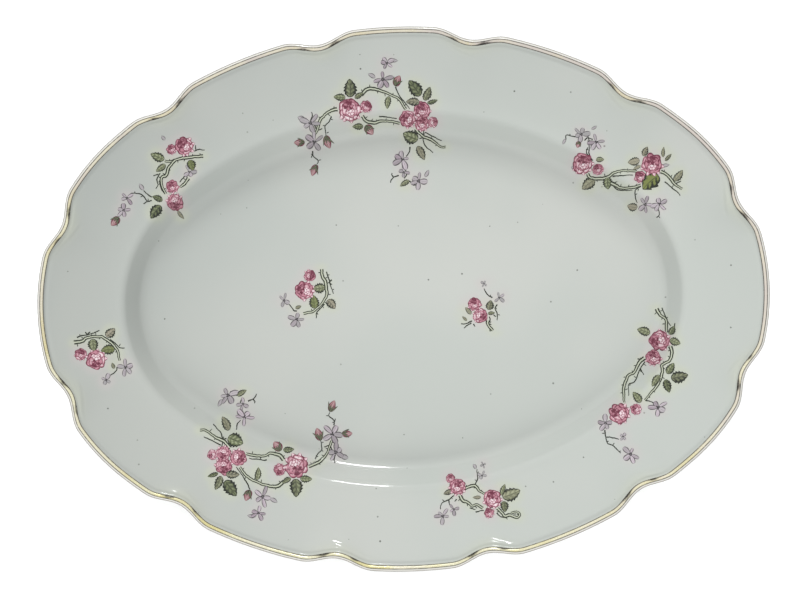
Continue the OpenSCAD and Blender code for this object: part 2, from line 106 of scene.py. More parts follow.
@dataclass
class OvalPlan:
    """Four-centred oval that every line of the dish is an inset of."""

    length: float
    width: float
    end_r: float = 118.0
    end_x: float = field(init=False)
    side_r: float = field(init=False)
    side_y: float = field(init=False)
    corner: float = field(init=False)
    end_arc: float = field(init=False)
    quarter: float = field(init=False)

    def __post_init__(self) -> None:
        """Works out the centres and the radius of the side arcs."""
        half = self.width / 2.0
        self.end_x = self.length / 2.0 - self.end_r
        self.side_r = (self.end_x**2 + half**2 - self.end_r**2) / (self.width - 2.0 * self.end_r)
        self.side_y = self.side_r - half
        self.corner = math.atan2(self.side_y, self.end_x)
        self.end_arc = self.end_r * self.corner
        self.quarter = self.end_arc + self.side_r * (math.pi / 2.0 - self.corner)

    def point(self, angle: np.ndarray, inset: np.ndarray) -> np.ndarray:
        """Finds points of the oval by the direction of its normal.

        Args:
            angle: Directions of the outward normal, in radians.
            inset: Distances in from the outline.

        Returns:
            Plan points, with x and y in the last axis.
        """
        angle, inset = np.broadcast_arrays(angle, inset)
        c = np.cos(angle)
        s = np.sin(angle)
        at_end = self.folded(angle) < self.corner
        centre_x = np.where(at_end, np.sign(c) * self.end_x, 0.0)
        centre_y = np.where(at_end, 0.0, -np.sign(s) * self.side_y)
        radius = np.where(at_end, self.end_r, self.side_r) - inset
        return np.stack([centre_x + radius * c, centre_y + radius * s], axis=-1)

    def folded(self, angle: np.ndarray) -> np.ndarray:
        """Returns directions folded into the first quarter."""
        return np.arctan2(np.abs(np.sin(angle)), np.abs(np.cos(angle)))

    def place(self, x: np.ndarray, y: np.ndarray) -> tuple[np.ndarray, np.ndarray]:
        """Finds where plan points lie on the dish.

        Args:
            x: Plan x.
            y: Plan y.

        Returns:
            The direction of the normal through each point and its inset.
        """
        at_end = np.arctan2(np.abs(y), np.abs(x) - self.end_x) < self.corner
        dx = np.where(at_end, x - np.sign(x) * self.end_x, x)
        dy = np.where(at_end, y, y + np.where(y < 0.0, -1.0, 1.0) * self.side_y)
        radius = np.where(at_end, self.end_r, self.side_r)
        return np.arctan2(dy, dx), radius - np.hypot(dx, dy)

    def distance(self, angle: np.ndarray) -> np.ndarray:
        """Measures how far round the outline each direction of the normal lies.

        Args:
            angle: Directions of the outward normal, in radians.

        Returns:
            The distances round the outline from +X.
        """
        angle = np.mod(angle, TAU)
        quadrant = np.floor(angle / (math.pi / 2.0))
        fold = self.folded(angle)
        along = np.where(
            fold < self.corner, self.end_r * fold, self.end_arc + self.side_r * (fold - self.corner)
        )
        even = np.mod(quadrant, 2.0) == 0.0
        return np.where(even, quadrant * self.quarter + along, (quadrant + 1.0) * self.quarter - along)

    def normal_at(self, distance: np.ndarray) -> np.ndarray:
        """Finds the direction of the normal at distances round the outline.

        Args:
            distance: Distances round the outline from +X.

        Returns:
            The directions, in radians.
        """
        quadrant = np.floor(distance / self.quarter)
        rest = distance - quadrant * self.quarter
        even = np.mod(quadrant, 2.0) == 0.0
        rest = np.where(even, rest, self.quarter - rest)
        fold = np.where(
            rest < self.end_arc, rest / self.end_r, self.corner + (rest - self.end_arc) / self.side_r
        )
        right = math.pi / 2.0
        return np.where(even, right * quadrant + fold, right * (quadrant + 1.0) - fold)


@dataclass(frozen=True)
class Notches:
    """The cuts between the lobes, and the moulded crease that trails in from each."""

    directions: tuple[float, ...] = (24.0, 58.5, 80.2)
    depth: float = 4.8
    run: float = 20.0
    reach: float = 34.0
    crease_run: float = 24.0
    crease_lead: float = 4.0
    crease_start: float = 6.0
    crease_rise: float = 4.0
    crease_fade: float = 8.0
    crease_inset: float = 9.5
    crease_tip: float = 4.4
    crease_curl: float = 1.6
    crease_height: float = 0.16
    crease_width: float = 1.1
    hollow_offset: float = 1.9
    hollow_share: float = 0.6

    def stations(self, plan: OvalPlan) -> np.ndarray:
        """Lays the notches of one quarter out round the whole dish.

        Args:
            plan: The oval of the dish.

        Returns:
            The distance of each notch round the outline.
        """
        first = [float(plan.distance(np.array(math.radians(a)))) for a in self.directions]
        mirrored = [2.0 * plan.quarter - s for s in reversed(first)]
        half = first + mirrored
        return np.array(half + [2.0 * plan.quarter + s for s in half])

    def gap(self, plan: OvalPlan, distance: np.ndarray) -> np.ndarray:
        """Measures from the nearest notch.

        Args:
            plan: The oval of the dish.
            distance: Distances round the outline.

        Returns:
            The signed distance past the nearest notch.
        """
        whole = 4.0 * plan.quarter
        raw = distance[..., None] - self.stations(plan)
        wrapped = np.mod(raw + whole / 2.0, whole) - whole / 2.0
        nearest = np.argmin(np.abs(wrapped), axis=-1)
        return np.take_along_axis(wrapped, nearest[..., None], axis=-1)[..., 0]

    def share(self, gap: np.ndarray) -> np.ndarray:
        """Returns how much of a notch's depth is cut, 1 in its bottom and 0 on a lobe."""
        along = np.clip(np.abs(gap) / self.run, 0.0, 1.0)
        return (1.0 + np.cos(math.pi * along)) / 2.0

    def fade(self, inset: np.ndarray, lip_zone: float) -> np.ndarray:
        """Returns how much of the notches is left at an inset from the lip."""
        t = np.clip((inset - lip_zone) / (self.reach - lip_zone), 0.0, 1.0)
        return (1.0 - t) ** 2

    def crease(self, gap: np.ndarray, inset: np.ndarray) -> np.ndarray:
        """Works out the relief of the crease that curls in beside each notch.

        Args:
            gap: Signed distances past the nearest notch.
            inset: Insets from the lip, before the notches are cut.

        Returns:
            Heights above the plain rim.
        """
        t = np.clip((gap + self.crease_lead) / self.crease_run, 0.0, 1.0)
        line = self.crease_tip + (self.crease_inset - self.crease_tip) * (1.0 - t) ** self.crease_curl
        start = np.clip((gap + self.crease_start) / self.crease_rise, 0.0, 1.0)
        end = np.clip((self.crease_run - gap) / self.crease_fade, 0.0, 1.0)
        across = (inset - line) / self.crease_width
        ridge = np.exp(-(across**2))
        hollow = np.exp(-((across - self.hollow_offset) ** 2))
        return self.crease_height * (start * end) * (ridge - self.hollow_share * hollow)


@dataclass
class DishSection:
    """Section of the china from the rolled lip to the flat of the well."""

    height: float
    wall: float = 4.0
    rim_w: float = 42.0
    rim_hollow: float = 1.3
    rim_wall: float = 3.0
    lip_r: float = 1.7
    well_depth: float = 14.5
    shoulder_angle: float = math.radians(55.0)
    shoulder_r: float = 6.0
    well_fillet: float = 9.0
    foot_h: float = 3.5
    groove: float = 0.45
    groove_inset: float = 4.3
    groove_width: float = 0.9
    root_share: float = 2.1
    zone_share: float = 3.0
    under_share: float = 1.6
    fine_from: float = 3.6
    fine_until: float = 12.0
    fine_step: float = 0.55
    well_z: float = field(init=False)
    rim_z: float = field(init=False)
    lip_z: float = field(init=False)
    well_edge: float = field(init=False)
    rim_start: float = field(init=False)
    lip_zone: float = field(init=False)

    def __post_init__(self) -> None:
        """Works out the levels and where the flat of the well begins."""
        turn = 1.0 - math.cos(self.shoulder_angle)
        rise = math.sin(self.shoulder_angle)
        self.well_z = self.foot_h + self.wall
        self.rim_z = self.well_z + self.well_depth
        self.lip_z = self.height - self.lip_r
        radii = self.shoulder_r + self.well_fillet
        flat = (self.well_depth - radii * turn) / rise
        self.well_edge = self.rim_w + radii * rise + flat * math.cos(self.shoulder_angle)
        self.rim_start = self.root_share * self.lip_r
        self.lip_zone = self.zone_share * self.lip_r

    def plain_rim(self, inset: np.ndarray) -> np.ndarray:
        """Returns the height of the rim's hollow upper face at insets from the lip."""
        t = np.clip((inset - self.rim_start) / (self.rim_w - self.rim_start), 0.0, 1.0)
        return self.rim_z + (self.lip_z - self.rim_z) * (1.0 - t) ** self.rim_hollow

    def rim_height(self, inset: np.ndarray) -> np.ndarray:
        """Works out the hollow of the rim and the groove inside the lip.

        Args:
            inset: Insets from the lip.

        Returns:
            The height of the rim's upper face at each.
        """
        groove = np.exp(-(((inset - self.groove_inset) / self.groove_width) ** 2))
        return self.plain_rim(inset) - self.groove * groove

    def bend(self, inset: float, height: float, radius: float, slopes: np.ndarray) -> np.ndarray:
        """Sweeps one round bend of the section.

        Args:
            inset: Inset of its centre.
            height: Height of its centre.
            radius: Its radius, negative where the china runs under the centre.
            slopes: Slope of the china at each point.

        Returns:
            One [inset, height] row for each slope.
        """
        return np.stack([inset + radius * np.sin(slopes), height + radius * np.cos(slopes)], axis=-1)

    def lip(self, angles: np.ndarray, radius: float | np.ndarray) -> np.ndarray:
        """Sweeps round the rolled lip.

        Args:
            angles: Directions about the middle of the lip, 0 is outward.
            radius: Distance from the middle of the lip.

        Returns:
            One [inset, height] row for each direction.
        """
        return np.stack(
            [self.lip_r - radius * np.cos(angles), self.lip_z + radius * np.sin(angles)], axis=-1
        )

    def upper(self) -> np.ndarray:
        """Builds the upper face from the lip's root to the edge of the flat well.

        Returns:
            [inset, height] points in order of inset.
        """
        near = np.arange(self.fine_from, self.fine_until, self.fine_step)
        far = np.linspace(self.fine_until, self.rim_w, 20)
        rim = np.concatenate([near, far])
        turn = np.linspace(0.0, self.shoulder_angle, 8)[1:]
        shoulder = self.bend(self.rim_w, self.rim_z - self.shoulder_r, self.shoulder_r, turn)
        back = np.linspace(self.shoulder_angle, 0.0, 10)
        fillet = self.bend(self.well_edge, self.well_z + self.well_fillet, -self.well_fillet, back)
        slope = shoulder[-1] + (fillet[0] - shoulder[-1]) * np.linspace(0.0, 1.0, 6)[1:-1, None]
        return np.concatenate([np.stack([rim, self.rim_height(rim)], axis=-1), shoulder, slope, fillet])

    def under(self) -> np.ndarray:
        """Builds the under face from the flat under the well out to the lip's root.

        Returns:
            [inset, height] points, the innermost first.
        """
        outer_r = self.well_fillet + self.wall
        turn = np.linspace(0.0, self.shoulder_angle, 8)
        fillet = self.bend(self.well_edge, self.well_z + self.well_fillet, -outer_r, turn)
        under_r = self.shoulder_r - self.wall
        back = np.linspace(self.shoulder_angle, 0.0, 6)
        shoulder = self.bend(self.rim_w, self.rim_z - self.wall - under_r, under_r, back)
        slope = fillet[-1] + (shoulder[0] - fillet[-1]) * np.linspace(0.0, 1.0, 5)[1:-1, None]
        inset = np.linspace(self.rim_w, self.under_share * self.rim_start, 18)[1:]
        thinning = (self.wall - self.rim_wall) * (self.rim_w - inset) / (self.rim_w - self.rim_start)
        rim = np.stack([inset, self.plain_rim(inset) - self.wall + thinning], axis=-1)
        return np.concatenate([fillet, slope, shoulder, rim])


class DishForm:
    """Shape of the whole dish: the plan, its notches and its section together."""

    LOBE_STEPS = 48
    CROWDING = 0.07

    def __init__(self) -> None:
        """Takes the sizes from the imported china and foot."""
        china = node_size("china_body")
        foot_low, foot_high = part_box("foot_ring")
        self.plan = OvalPlan(length=round(china.x), width=round(china.y))
        self.section = DishSection(
            height=round((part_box("china_body")[1].z) / MM),
            foot_h=round((foot_high.z - foot_low.z) / MM, 1),
        )
        self.notches = Notches()
        self.profile = self.section.upper()
        self.angles = self._stations()

    def _stations(self) -> np.ndarray:
        """Spaces the stations of every ring, closer together beside the notches.

        Returns:
            The direction of the normal at each station.
        """
        notches = self.notches.stations(self.plan)
        ends = np.append(notches[1:], notches[0] + 4.0 * self.plan.quarter)
        u = np.arange(self.LOBE_STEPS) / self.LOBE_STEPS
        eased = u - self.CROWDING * np.sin(TAU * u)
        distances = (notches[:, None] + (ends - notches)[:, None] * eased).ravel()
        return self.plan.normal_at(distances)

    def cut(self, angle: np.ndarray) -> tuple[np.ndarray, np.ndarray]:
        """Returns the signed gap to the nearest notch and the depth cut there."""
        gap = self.notches.gap(self.plan, self.plan.distance(angle))
        return gap, self.notches.depth * self.notches.share(gap)

    def ring(self, inset: float, height: float, relief: bool = False) -> np.ndarray:
        """Sweeps one point of the section round the scalloped outline.

        Args:
            inset: Inset of the point from the lip, on a lobe.
            height: Height of the point.
            relief: Whether the moulded crease shows in this ring.

        Returns:
            One [x, y, z] row for each station.
        """
        gap, depth = self.cut(self.angles)
        fade = self.notches.fade(np.full_like(gap, inset), self.section.lip_zone)
        plan = self.plan.point(self.angles, inset + depth * fade)
        z = np.full(len(plan), height)
        if relief:
            z = z + self.notches.crease(gap, np.full_like(gap, inset))
        return np.column_stack([plan, z])

    def glaze_height(self, plan: np.ndarray) -> np.ndarray:
        """Finds the height of the glazed upper face.

        Args:
            plan: Plan points, with x and y in the last axis.

        Returns:
            The height of the glaze at each.
        """
        angle, inset = self.plan.place(plan[..., 0], plan[..., 1])
        gap, depth = self.cut(angle)
        level = inset
        for _ in range(6):
            level = inset - depth * self.notches.fade(level, self.section.lip_zone)
        height = np.interp(level, self.profile[:, 0], self.profile[:, 1])
        return height + self.notches.crease(gap, level)


def make_object(name: str, points: np.ndarray, faces: Sequence[Sequence[int]]) -> bpy.types.Object:
    """Makes a smooth-shaded object from points in millimetres.

    Args:
        name: Name of the piece.
        points: One [x, y, z] row for each vertex.
        faces: Vertex numbers of each face.

    Returns:
        The new object, linked to the scene.
    """
    mesh = bpy.data.meshes.new(name)
    mesh.from_pydata((points * MM).tolist(), [], [list(f) for f in faces])
    mesh.update()
    mesh.polygons.foreach_set("use_smooth", [True] * len(mesh.polygons))
    obj = bpy.data.objects.new(name, mesh)
    bpy.context.scene.collection.objects.link(obj)
    return obj


def grid_faces(rows: int, columns: int, closed: bool, start: int = 0) -> np.ndarray:
    """Numbers the quads of a grid of vertices.

    Args:
        rows: Rows of vertices.
        columns: Vertices in a row.
        closed: Whether the last column joins the first.
        start: Number of the first vertex.

    Returns:
        One row of four vertex numbers for each quad.
    """
    i, j = np.meshgrid(np.arange(rows - 1), np.arange(columns if closed else columns - 1), indexing="ij")
    k = (j + 1) % columns
    quads = [i * columns + j, i * columns + k, (i + 1) * columns + k, (i + 1) * columns + j]
    return np.stack(quads, axis=-1).reshape(-1, 4) + start


def point_attribute(obj: bpy.types.Object, name: str, values: np.ndarray) -> None:
    """Writes one number for each vertex of a piece, for its material to read."""
    layer = obj.data.attributes.new(name, "FLOAT", "POINT")
    layer.data.foreach_set("value", np.asarray(values, dtype=np.float32))


# ---------------------------------------------------------------- finishes


# Cells to the metre of everything that varies over a surface.
DRIFT_CELLS = 9.0
WARMTH_CELLS = 30.0
SWELL_CELLS = 34.0
FILM_CELLS = 38.0
RUB_CELLS = 45.0
SPECK_CELLS = 62.0
INK_DRIFT_CELLS = 240.0
PEEL_CELLS = 260.0
SOIL_CELLS = 420.0
LINE_BREAK_CELLS = 520.0
BURNISH_CELLS = 1400.0
BISCUIT_CELLS = 1500.0
STIPPLE_CELLS = 2600.0

SPECK_RARITY = 0.8
SPECK_LEAST = 0.014
SPECK_SPREAD = 0.02
GLASS_IOR = 1.5


class GroupName(Enum):
    """Shader groups that more than one finish uses."""

    GLAZE = "fired_glaze"
    PRINT = "printed_enamel"
    WEAR = "rubbed_edge"


class NodeTree:
    """Short hand for building the nodes of one group or material."""

    def __init__(self, tree: bpy.types.NodeTree) -> None:
        """Holds the tree that the nodes go into."""
        self.tree = tree

    def node(self, kind: str, **values: object) -> bpy.types.Node:
        """Adds a node and sets its properties.

        Args:
            kind: Node type, such as ShaderNodeMath.
            values: Properties of the node by name.

        Returns:
            The new node.
        """
        made = self.tree.nodes.new(kind)
        for key, value in values.items():
            setattr(made, key, value)
        return made

    def link(self, out: bpy.types.NodeSocket, into: bpy.types.NodeSocket) -> None:
        """Links two sockets."""
        self.tree.links.new(out, into)

    def feed(self, into: bpy.types.NodeSocket, value: object) -> None:
        """Gives a socket a link or a constant.

        Args:
            into: The input to fill.
            value: An output to link, a number, or a colour as three numbers.
        """
        if isinstance(value, bpy.types.NodeSocket):
            self.link(value, into)
        elif into.type == "RGBA":
            into.default_value = (*value, 1.0)
        else:
            into.default_value = value

    def math(self, operation: str, *inputs: object, clamp: bool = False) -> bpy.types.NodeSocket:
        """Adds a Math node.

        Args:
            operation: What it works out.
            *inputs: Its inputs in order.
            clamp: Whether the result is kept between 0 and 1.

        Returns:
            Its output.
        """
        made = self.node("ShaderNodeMath", operation=operation, use_clamp=clamp)
        for socket, value in zip(made.inputs, inputs):
            self.feed(socket, value)
        return made.outputs[0]

    def mix(self, factor: object, first: object, second: object) -> bpy.types.NodeSocket:
        """Adds a colour Mix node.

        Args:
            factor: Share of the second colour.
            first: First colour.
            second: Second colour.

        Returns:
            Its output.
        """
        made = self.node("ShaderNodeMix", data_type="RGBA")
        self.feed(made.inputs["Factor"], factor)
        self.feed(made.inputs[6], first)
        self.feed(made.inputs[7], second)
        return made.outputs[2]

    def noise(self, scale: object, detail: float, where: object = None) -> bpy.types.NodeSocket:
        """Adds a Noise texture.

        Args:
            scale: Its scale.
            detail: Its octaves.
            where: Coordinates that it is read at.

        Returns:
            Its value.
        """
        made = self.node("ShaderNodeTexNoise")
        self.feed(made.inputs["Scale"], scale)
        made.inputs["Detail"].default_value = detail
        if where is not None:
            self.feed(made.inputs["Vector"], where)
        return made.outputs["Fac"]

    def band(self, value: object, low: float, high: float) -> bpy.types.NodeSocket:
        """Maps a value so that it rises from 0 to 1 between two levels.

        Args:
            value: The value to map.
            low: Level at which the result is 0.
            high: Level at which it is 1.

        Returns:
            The mapped value.
        """
        made = self.node("ShaderNodeMapRange", interpolation_type="SMOOTHSTEP")
        self.feed(made.inputs["Value"], value)
        made.inputs["From Min"].default_value = low
        made.inputs["From Max"].default_value = high
        return made.outputs["Result"]

    def here(self) -> bpy.types.NodeSocket:
        """Reads the place on the piece, in metres."""
        return self.node("ShaderNodeTexCoord").outputs["Object"]

    def attribute(self, name: str) -> bpy.types.NodeSocket:
        """Reads a number kept on the vertices."""
        return self.node("ShaderNodeAttribute", attribute_name=name).outputs["Fac"]


def new_group(
    name: GroupName, inputs: dict[str, object], outputs: dict[str, str]
) -> tuple[NodeTree, bpy.types.NodeOutputs, bpy.types.NodeInputs]:
    """Makes a shader group with named sockets.

    Args:
        name: Which group it is.
        inputs: Default of each input by name, a colour as three numbers.
        outputs: Socket type of each output by name.

    Returns:
        The node helper, the group's inputs and its output node.
    """
    tree = bpy.data.node_groups.new(name.value, "ShaderNodeTree")
    for label, value in inputs.items():
        is_colour = isinstance(value, tuple)
        kind = "NodeSocketColor" if is_colour else "NodeSocketFloat"
        socket = tree.interface.new_socket(label, in_out="INPUT", socket_type=kind)
        socket.default_value = (*value, 1.0) if is_colour else value
    for label, kind in outputs.items():
        tree.interface.new_socket(label, in_out="OUTPUT", socket_type=kind)
    build = NodeTree(tree)
    return build, build.node("NodeGroupInput").outputs, build.node("NodeGroupOutput").inputs


def glaze_group() -> None:
    """Builds the group for fired glaze: slow drifts of tone, specks of iron and orange peel."""
    build, given, out = new_group(
        GroupName.GLAZE,
        {"Body": (0.5, 0.5, 0.5), "Cool": (0.5, 0.5, 0.5), "Speck": (0.1, 0.1, 0.1), "Specks": 1.0},
        {"Color": "NodeSocketColor", "Roughness": "NodeSocketFloat", "Height": "NodeSocketFloat"},
    )
    where = build.here()
    drift = build.noise(DRIFT_CELLS, 2.0, where)
    body = build.mix(build.band(drift, 0.35, 0.65), given["Body"], given["Cool"])
    cells = build.node("ShaderNodeTexVoronoi", feature="F1", voronoi_dimensions="2D")
    build.feed(cells.inputs["Vector"], where)
    cells.inputs["Scale"].default_value = SPECK_CELLS
    rarity = build.node("ShaderNodeSeparateColor")
    build.link(cells.outputs["Color"], rarity.inputs[0])
    chosen = build.math("GREATER_THAN", rarity.outputs[0], SPECK_RARITY)
    size = build.math("MULTIPLY_ADD", rarity.outputs[1], SPECK_SPREAD, SPECK_LEAST)
    dot = build.math("LESS_THAN", cells.outputs["Distance"], size)
    speck = build.math("MULTIPLY", build.math("MULTIPLY", chosen, dot), given["Specks"])
    depth = build.math("MULTIPLY", speck, build.math("MULTIPLY_ADD", rarity.outputs[2], 0.5, 0.35))
    build.link(build.mix(depth, body, given["Speck"]), out["Color"])
    film = build.noise(FILM_CELLS, 3.0, where)
    build.link(build.math("MULTIPLY_ADD", film, 0.07, 0.06), out["Roughness"])
    peel = build.noise(PEEL_CELLS, 1.0, where)
    swell = build.noise(SWELL_CELLS, 1.0, where)
    build.link(build.math("MULTIPLY_ADD", peel, 0.12, swell), out["Height"])


def print_group() -> None:
    """Builds the group for printed enamel: three inks laid by tone, with a stipple in them."""
    build, given, out = new_group(
        GroupName.PRINT,
        {
            "Deep": (0.1, 0.1, 0.1),
            "Middle": (0.3, 0.3, 0.3),
            "Pale": (0.6, 0.6, 0.6),
            "Shift": (0.3, 0.3, 0.3),
            "Fresh": (0.3, 0.3, 0.3),
            "Tone": 0.5,
            "Hue": 0.0,
            "Stipple": 0.1,
        },
        {"Color": "NodeSocketColor", "Roughness": "NodeSocketFloat"},
    )
    where = build.here()
    grain = build.math("SUBTRACT", build.noise(STIPPLE_CELLS, 2.0, where), 0.5)
    tone = build.math("MULTIPLY_ADD", grain, given["Stipple"], given["Tone"], clamp=True)
    lower = build.mix(build.band(tone, 0.08, 0.5), given["Deep"], given["Middle"])
    colour = build.mix(build.band(tone, 0.5, 0.95), lower, given["Pale"])
    drift = build.math("MULTIPLY_ADD", build.noise(INK_DRIFT_CELLS, 1.0, where), 0.5, -0.25)
    hue = build.math("ADD", given["Hue"], build.math("MULTIPLY", drift, given["Hue"]), clamp=True)
    body = build.math("MULTIPLY", hue, build.band(tone, 0.05, 0.45))
    shifted = build.mix(body, colour, given["Shift"])
    bright = build.math("MULTIPLY", given["Hue"], -1.0, clamp=True)
    fresh = build.math("MULTIPLY", bright, build.band(tone, 0.05, 0.4))
    build.link(build.mix(fresh, shifted, given["Fresh"]), out["Color"])
    build.link(build.math("MULTIPLY_ADD", grain, 0.1, 0.2), out["Roughness"])


def wear_group() -> None:
    """Builds the group for rubbed gilding: how much of it is left, and its burnish."""
    build, given, out = new_group(
        GroupName.WEAR,
        {"Laid": 1.0, "Rub": 0.5, "Scale": 60.0},
        {"Left": "NodeSocketFloat", "Roughness": "NodeSocketFloat", "Height": "NodeSocketFloat"},
    )
    where = build.here()
    broad = build.noise(given["Scale"], 4.0, where)
    fine = build.noise(BURNISH_CELLS, 3.0, where)
    mixed = build.math("MULTIPLY_ADD", fine, 0.35, build.math("MULTIPLY", broad, 0.65))
    lost = build.math("MULTIPLY", build.band(mixed, 0.42, 0.62), given["Rub"])
    build.link(build.math("SUBTRACT", given["Laid"], lost, clamp=True), out["Left"])
    build.link(build.math("MULTIPLY_ADD", fine, 0.25, 0.12), out["Roughness"])
    build.link(build.math("MULTIPLY_ADD", broad, 0.4, fine), out["Height"])


class Finish:
    """A finish that becomes one material the first time that it is asked for."""

    name: str

    def material(self) -> bpy.types.Material:
        """Builds the finish's material at its first use.

        Returns:
            The material.
        """
        title = f"fired_{self.name}"
        ready = bpy.data.materials.get(title)
        if ready is None:
            ready = bpy.data.materials.new(title)
            ready.use_nodes = True
            build = NodeTree(ready.node_tree)
            self.dress(build, ready.node_tree.nodes["Principled BSDF"])
        return ready

    def group(self, build: NodeTree, name: GroupName, **values: object) -> bpy.types.NodeOutputs:
        """Places a shader group in the material.

        Args:
            build: The material's nodes.
            name: Which group.
            **values: What feeds each of its inputs.

        Returns:
            The group's outputs.
        """
        placed = build.node("ShaderNodeGroup", node_tree=bpy.data.node_groups[name.value])
        for label, value in values.items():
            build.feed(placed.inputs[label], value)
        return placed.outputs

    def bump(
        self, build: NodeTree, height: object, strength: float, reach: float
    ) -> bpy.types.NodeSocket:
        """Adds a Bump node.

        Args:
            build: The material's nodes.
            height: The height that it reads.
            strength: Its strength.
            reach: Its distance, in metres.

        Returns:
            Its normal.
        """
        bump = build.node("ShaderNodeBump")
        bump.inputs["Strength"].default_value = strength
        bump.inputs["Distance"].default_value = reach
        build.feed(bump.inputs["Height"], height)
        return bump.outputs["Normal"]

    def dress(self, build: NodeTree, shader: bpy.types.Node) -> None:
        """Connects the finish to the shader.

        Args:
            build: The material's nodes.
            shader: The material's shader.
        """
        raise NotImplementedError


@dataclass(frozen=True)
class GlazedChina(Finish):
    """Pale grey-green china under clear glaze, with painted shade greying it toward -x, stained beside
    the enamels.
    """

    name: str = "glazed_china"
    body: Colour = paint(183, 186, 181)
    cool: Colour = paint(177, 182, 177)
    # Paler colour laid along the top of the lip's bead.
    pale_bead: Colour = paint(212, 210, 203)
    # Painted shade: greyer copies of the body and cool tones that darken the -x side of the dish.
    painted_shade: Colour = paint(167, 171, 166)
    painted_shade_cool: Colour = paint(162, 167, 163)
    outline: Colour = paint(80, 72, 58)
    speck: Colour = paint(70, 72, 66)
    green_halo: Colour = paint(182, 187, 164)
    pink_halo: Colour = paint(188, 176, 177)
    rim_stain: Colour = paint(184, 187, 164)
    # Span in x, in metres, over which the painted shade gives way to the plain body.
    painted_shade_band: Point = (-0.22, 0.03)

    def dress(self, build: NodeTree, shader: bpy.types.Node) -> None:
        """Connects drifts of tone, specks, painted shade toward -x and the stains beside the enamels.

        Args:
            build: The material's nodes.
            shader: The material's shader.
        """
        # Painted shade: toward -x the glaze takes its greyer shaded colours, darkening that side of the
        # dish.
        parts = build.node("ShaderNodeSeparateXYZ")
        build.link(build.here(), parts.inputs[0])
        side = build.band(parts.outputs["X"], *self.painted_shade_band)
        glaze = self.group(
            build,
            GroupName.GLAZE,
            Body=build.mix(side, self.painted_shade, self.body),
            Cool=build.mix(side, self.painted_shade_cool, self.cool),
            Speck=self.speck,
            Specks=1.0,
        )
        colour = glaze["Color"]
        for layer, stain in (
            ("green_halo", self.green_halo),
            ("pink_halo", self.pink_halo),
            ("rim_stain", self.rim_stain),
            ("pale_bead_strip", self.pale_bead),
            ("outer_line", self.outline),
        ):
            colour = build.mix(build.attribute(layer), colour, stain)
        build.link(colour, shader.inputs["Base Color"])
        build.link(glaze["Roughness"], shader.inputs["Roughness"])
        build.link(self.bump(build, glaze["Height"], 0.05, 0.0004), shader.inputs["Normal"])
        shader.inputs["IOR"].default_value = GLASS_IOR
        shader.inputs["Coat Weight"].default_value = 0.3
        shader.inputs["Coat Roughness"].default_value = 0.04


@dataclass(frozen=True)
class FootChina(Finish):
    """Foot ring glazed down its sides, with the bare biscuit of its land ground dull."""

    name: str = "foot_china"
    glaze: Colour = paint(194, 200, 194)
    biscuit: Colour = paint(206, 198, 180)
    soil: Colour = paint(140, 130, 112)

    def dress(self, build: NodeTree, shader: bpy.types.Node) -> None:
        """Connects the bare land and the soil rubbed into it.

        Args:
            build: The material's nodes.
            shader: The material's shader.
        """
        glaze = self.group(
            build, GroupName.GLAZE, Body=self.glaze, Cool=self.glaze, Speck=self.soil, Specks=1.0
        )
        bare = build.attribute("bare")
        where = build.here()
        rubbed = build.band(build.noise(SOIL_CELLS, 4.0, where), 0.45, 0.75)
        land = build.mix(build.math("MULTIPLY", rubbed, 0.55), self.biscuit, self.soil)
        build.link(build.mix(bare, glaze["Color"], land), shader.inputs["Base Color"])
        dull = build.math("MULTIPLY_ADD", bare, 0.6, glaze["Roughness"])
        build.link(dull, shader.inputs["Roughness"])
        grain = build.math("MULTIPLY", build.noise(BISCUIT_CELLS, 3.0, where), bare)
        build.link(self.bump(build, grain, 0.25, 0.0003), shader.inputs["Normal"])


@dataclass(frozen=True)
class Gilding(Finish):
    """Burnished gold over the lip, rubbed through to the china where hands hold it."""

    name: str = "rubbed_gilding"
    gold: Colour = paint(254, 250, 216)
    rich: Colour = paint(240, 230, 170)
    china: Colour = paint(196, 188, 180)
    brown: Colour = paint(30, 25, 15)

    def dress(self, build: NodeTree, shader: bpy.types.Node) -> None:
        """Connects what is left of the gold to colour, metal and burnish.

        Args:
            build: The material's nodes.
            shader: The material's shader.
        """
        wear = self.group(
            build, GroupName.WEAR, Laid=build.attribute("laid"), Rub=0.55, Scale=RUB_CELLS
        )
        edge = build.attribute("edge")
        where = build.here()
        warm = build.band(build.noise(WARMTH_CELLS, 2.0, where), 0.4, 0.65)
        gold = build.mix(warm, self.gold, self.rich)
        rubbed = build.mix(wear["Left"], self.china, gold)
        breaks = build.band(build.noise(LINE_BREAK_CELLS, 2.0, where), 0.3, 0.5)
        line = build.math("MULTIPLY", edge, build.math("MULTIPLY_ADD", breaks, 0.25, 0.75))
        build.link(build.mix(line, rubbed, self.brown), shader.inputs["Base Color"])
        metal = build.math("MULTIPLY", wear["Left"], build.math("MULTIPLY_ADD", line, -0.6, 0.6))
        build.link(metal, shader.inputs["Metallic"])
        build.link(wear["Roughness"], shader.inputs["Roughness"])
        build.link(self.bump(build, wear["Height"], 0.12, 0.00006), shader.inputs["Normal"])


@dataclass(frozen=True)
class Enamel(Finish):
    """One fired enamel, printed in three strengths of its ink."""

    name: str
    deep: Colour
    middle: Colour
    pale: Colour
    shift: Colour
    fresh: Colour
    stipple: float = 0.3

    def dress(self, build: NodeTree, shader: bpy.types.Node) -> None:
        """Connects the inks by the tone kept on the drawing.

        Args:
            build: The material's nodes.
            shader: The material's shader.
        """
        inks = self.group(
            build,
            GroupName.PRINT,
            Deep=self.deep,
            Middle=self.middle,
            Pale=self.pale,
            Shift=self.shift,
            Fresh=self.fresh,
            Tone=build.attribute("tone"),
            Hue=build.attribute("hue"),
            Stipple=self.stipple,
        )
        build.link(inks["Color"], shader.inputs["Base Color"])
        build.link(inks["Roughness"], shader.inputs["Roughness"])
        shader.inputs["IOR"].default_value = GLASS_IOR


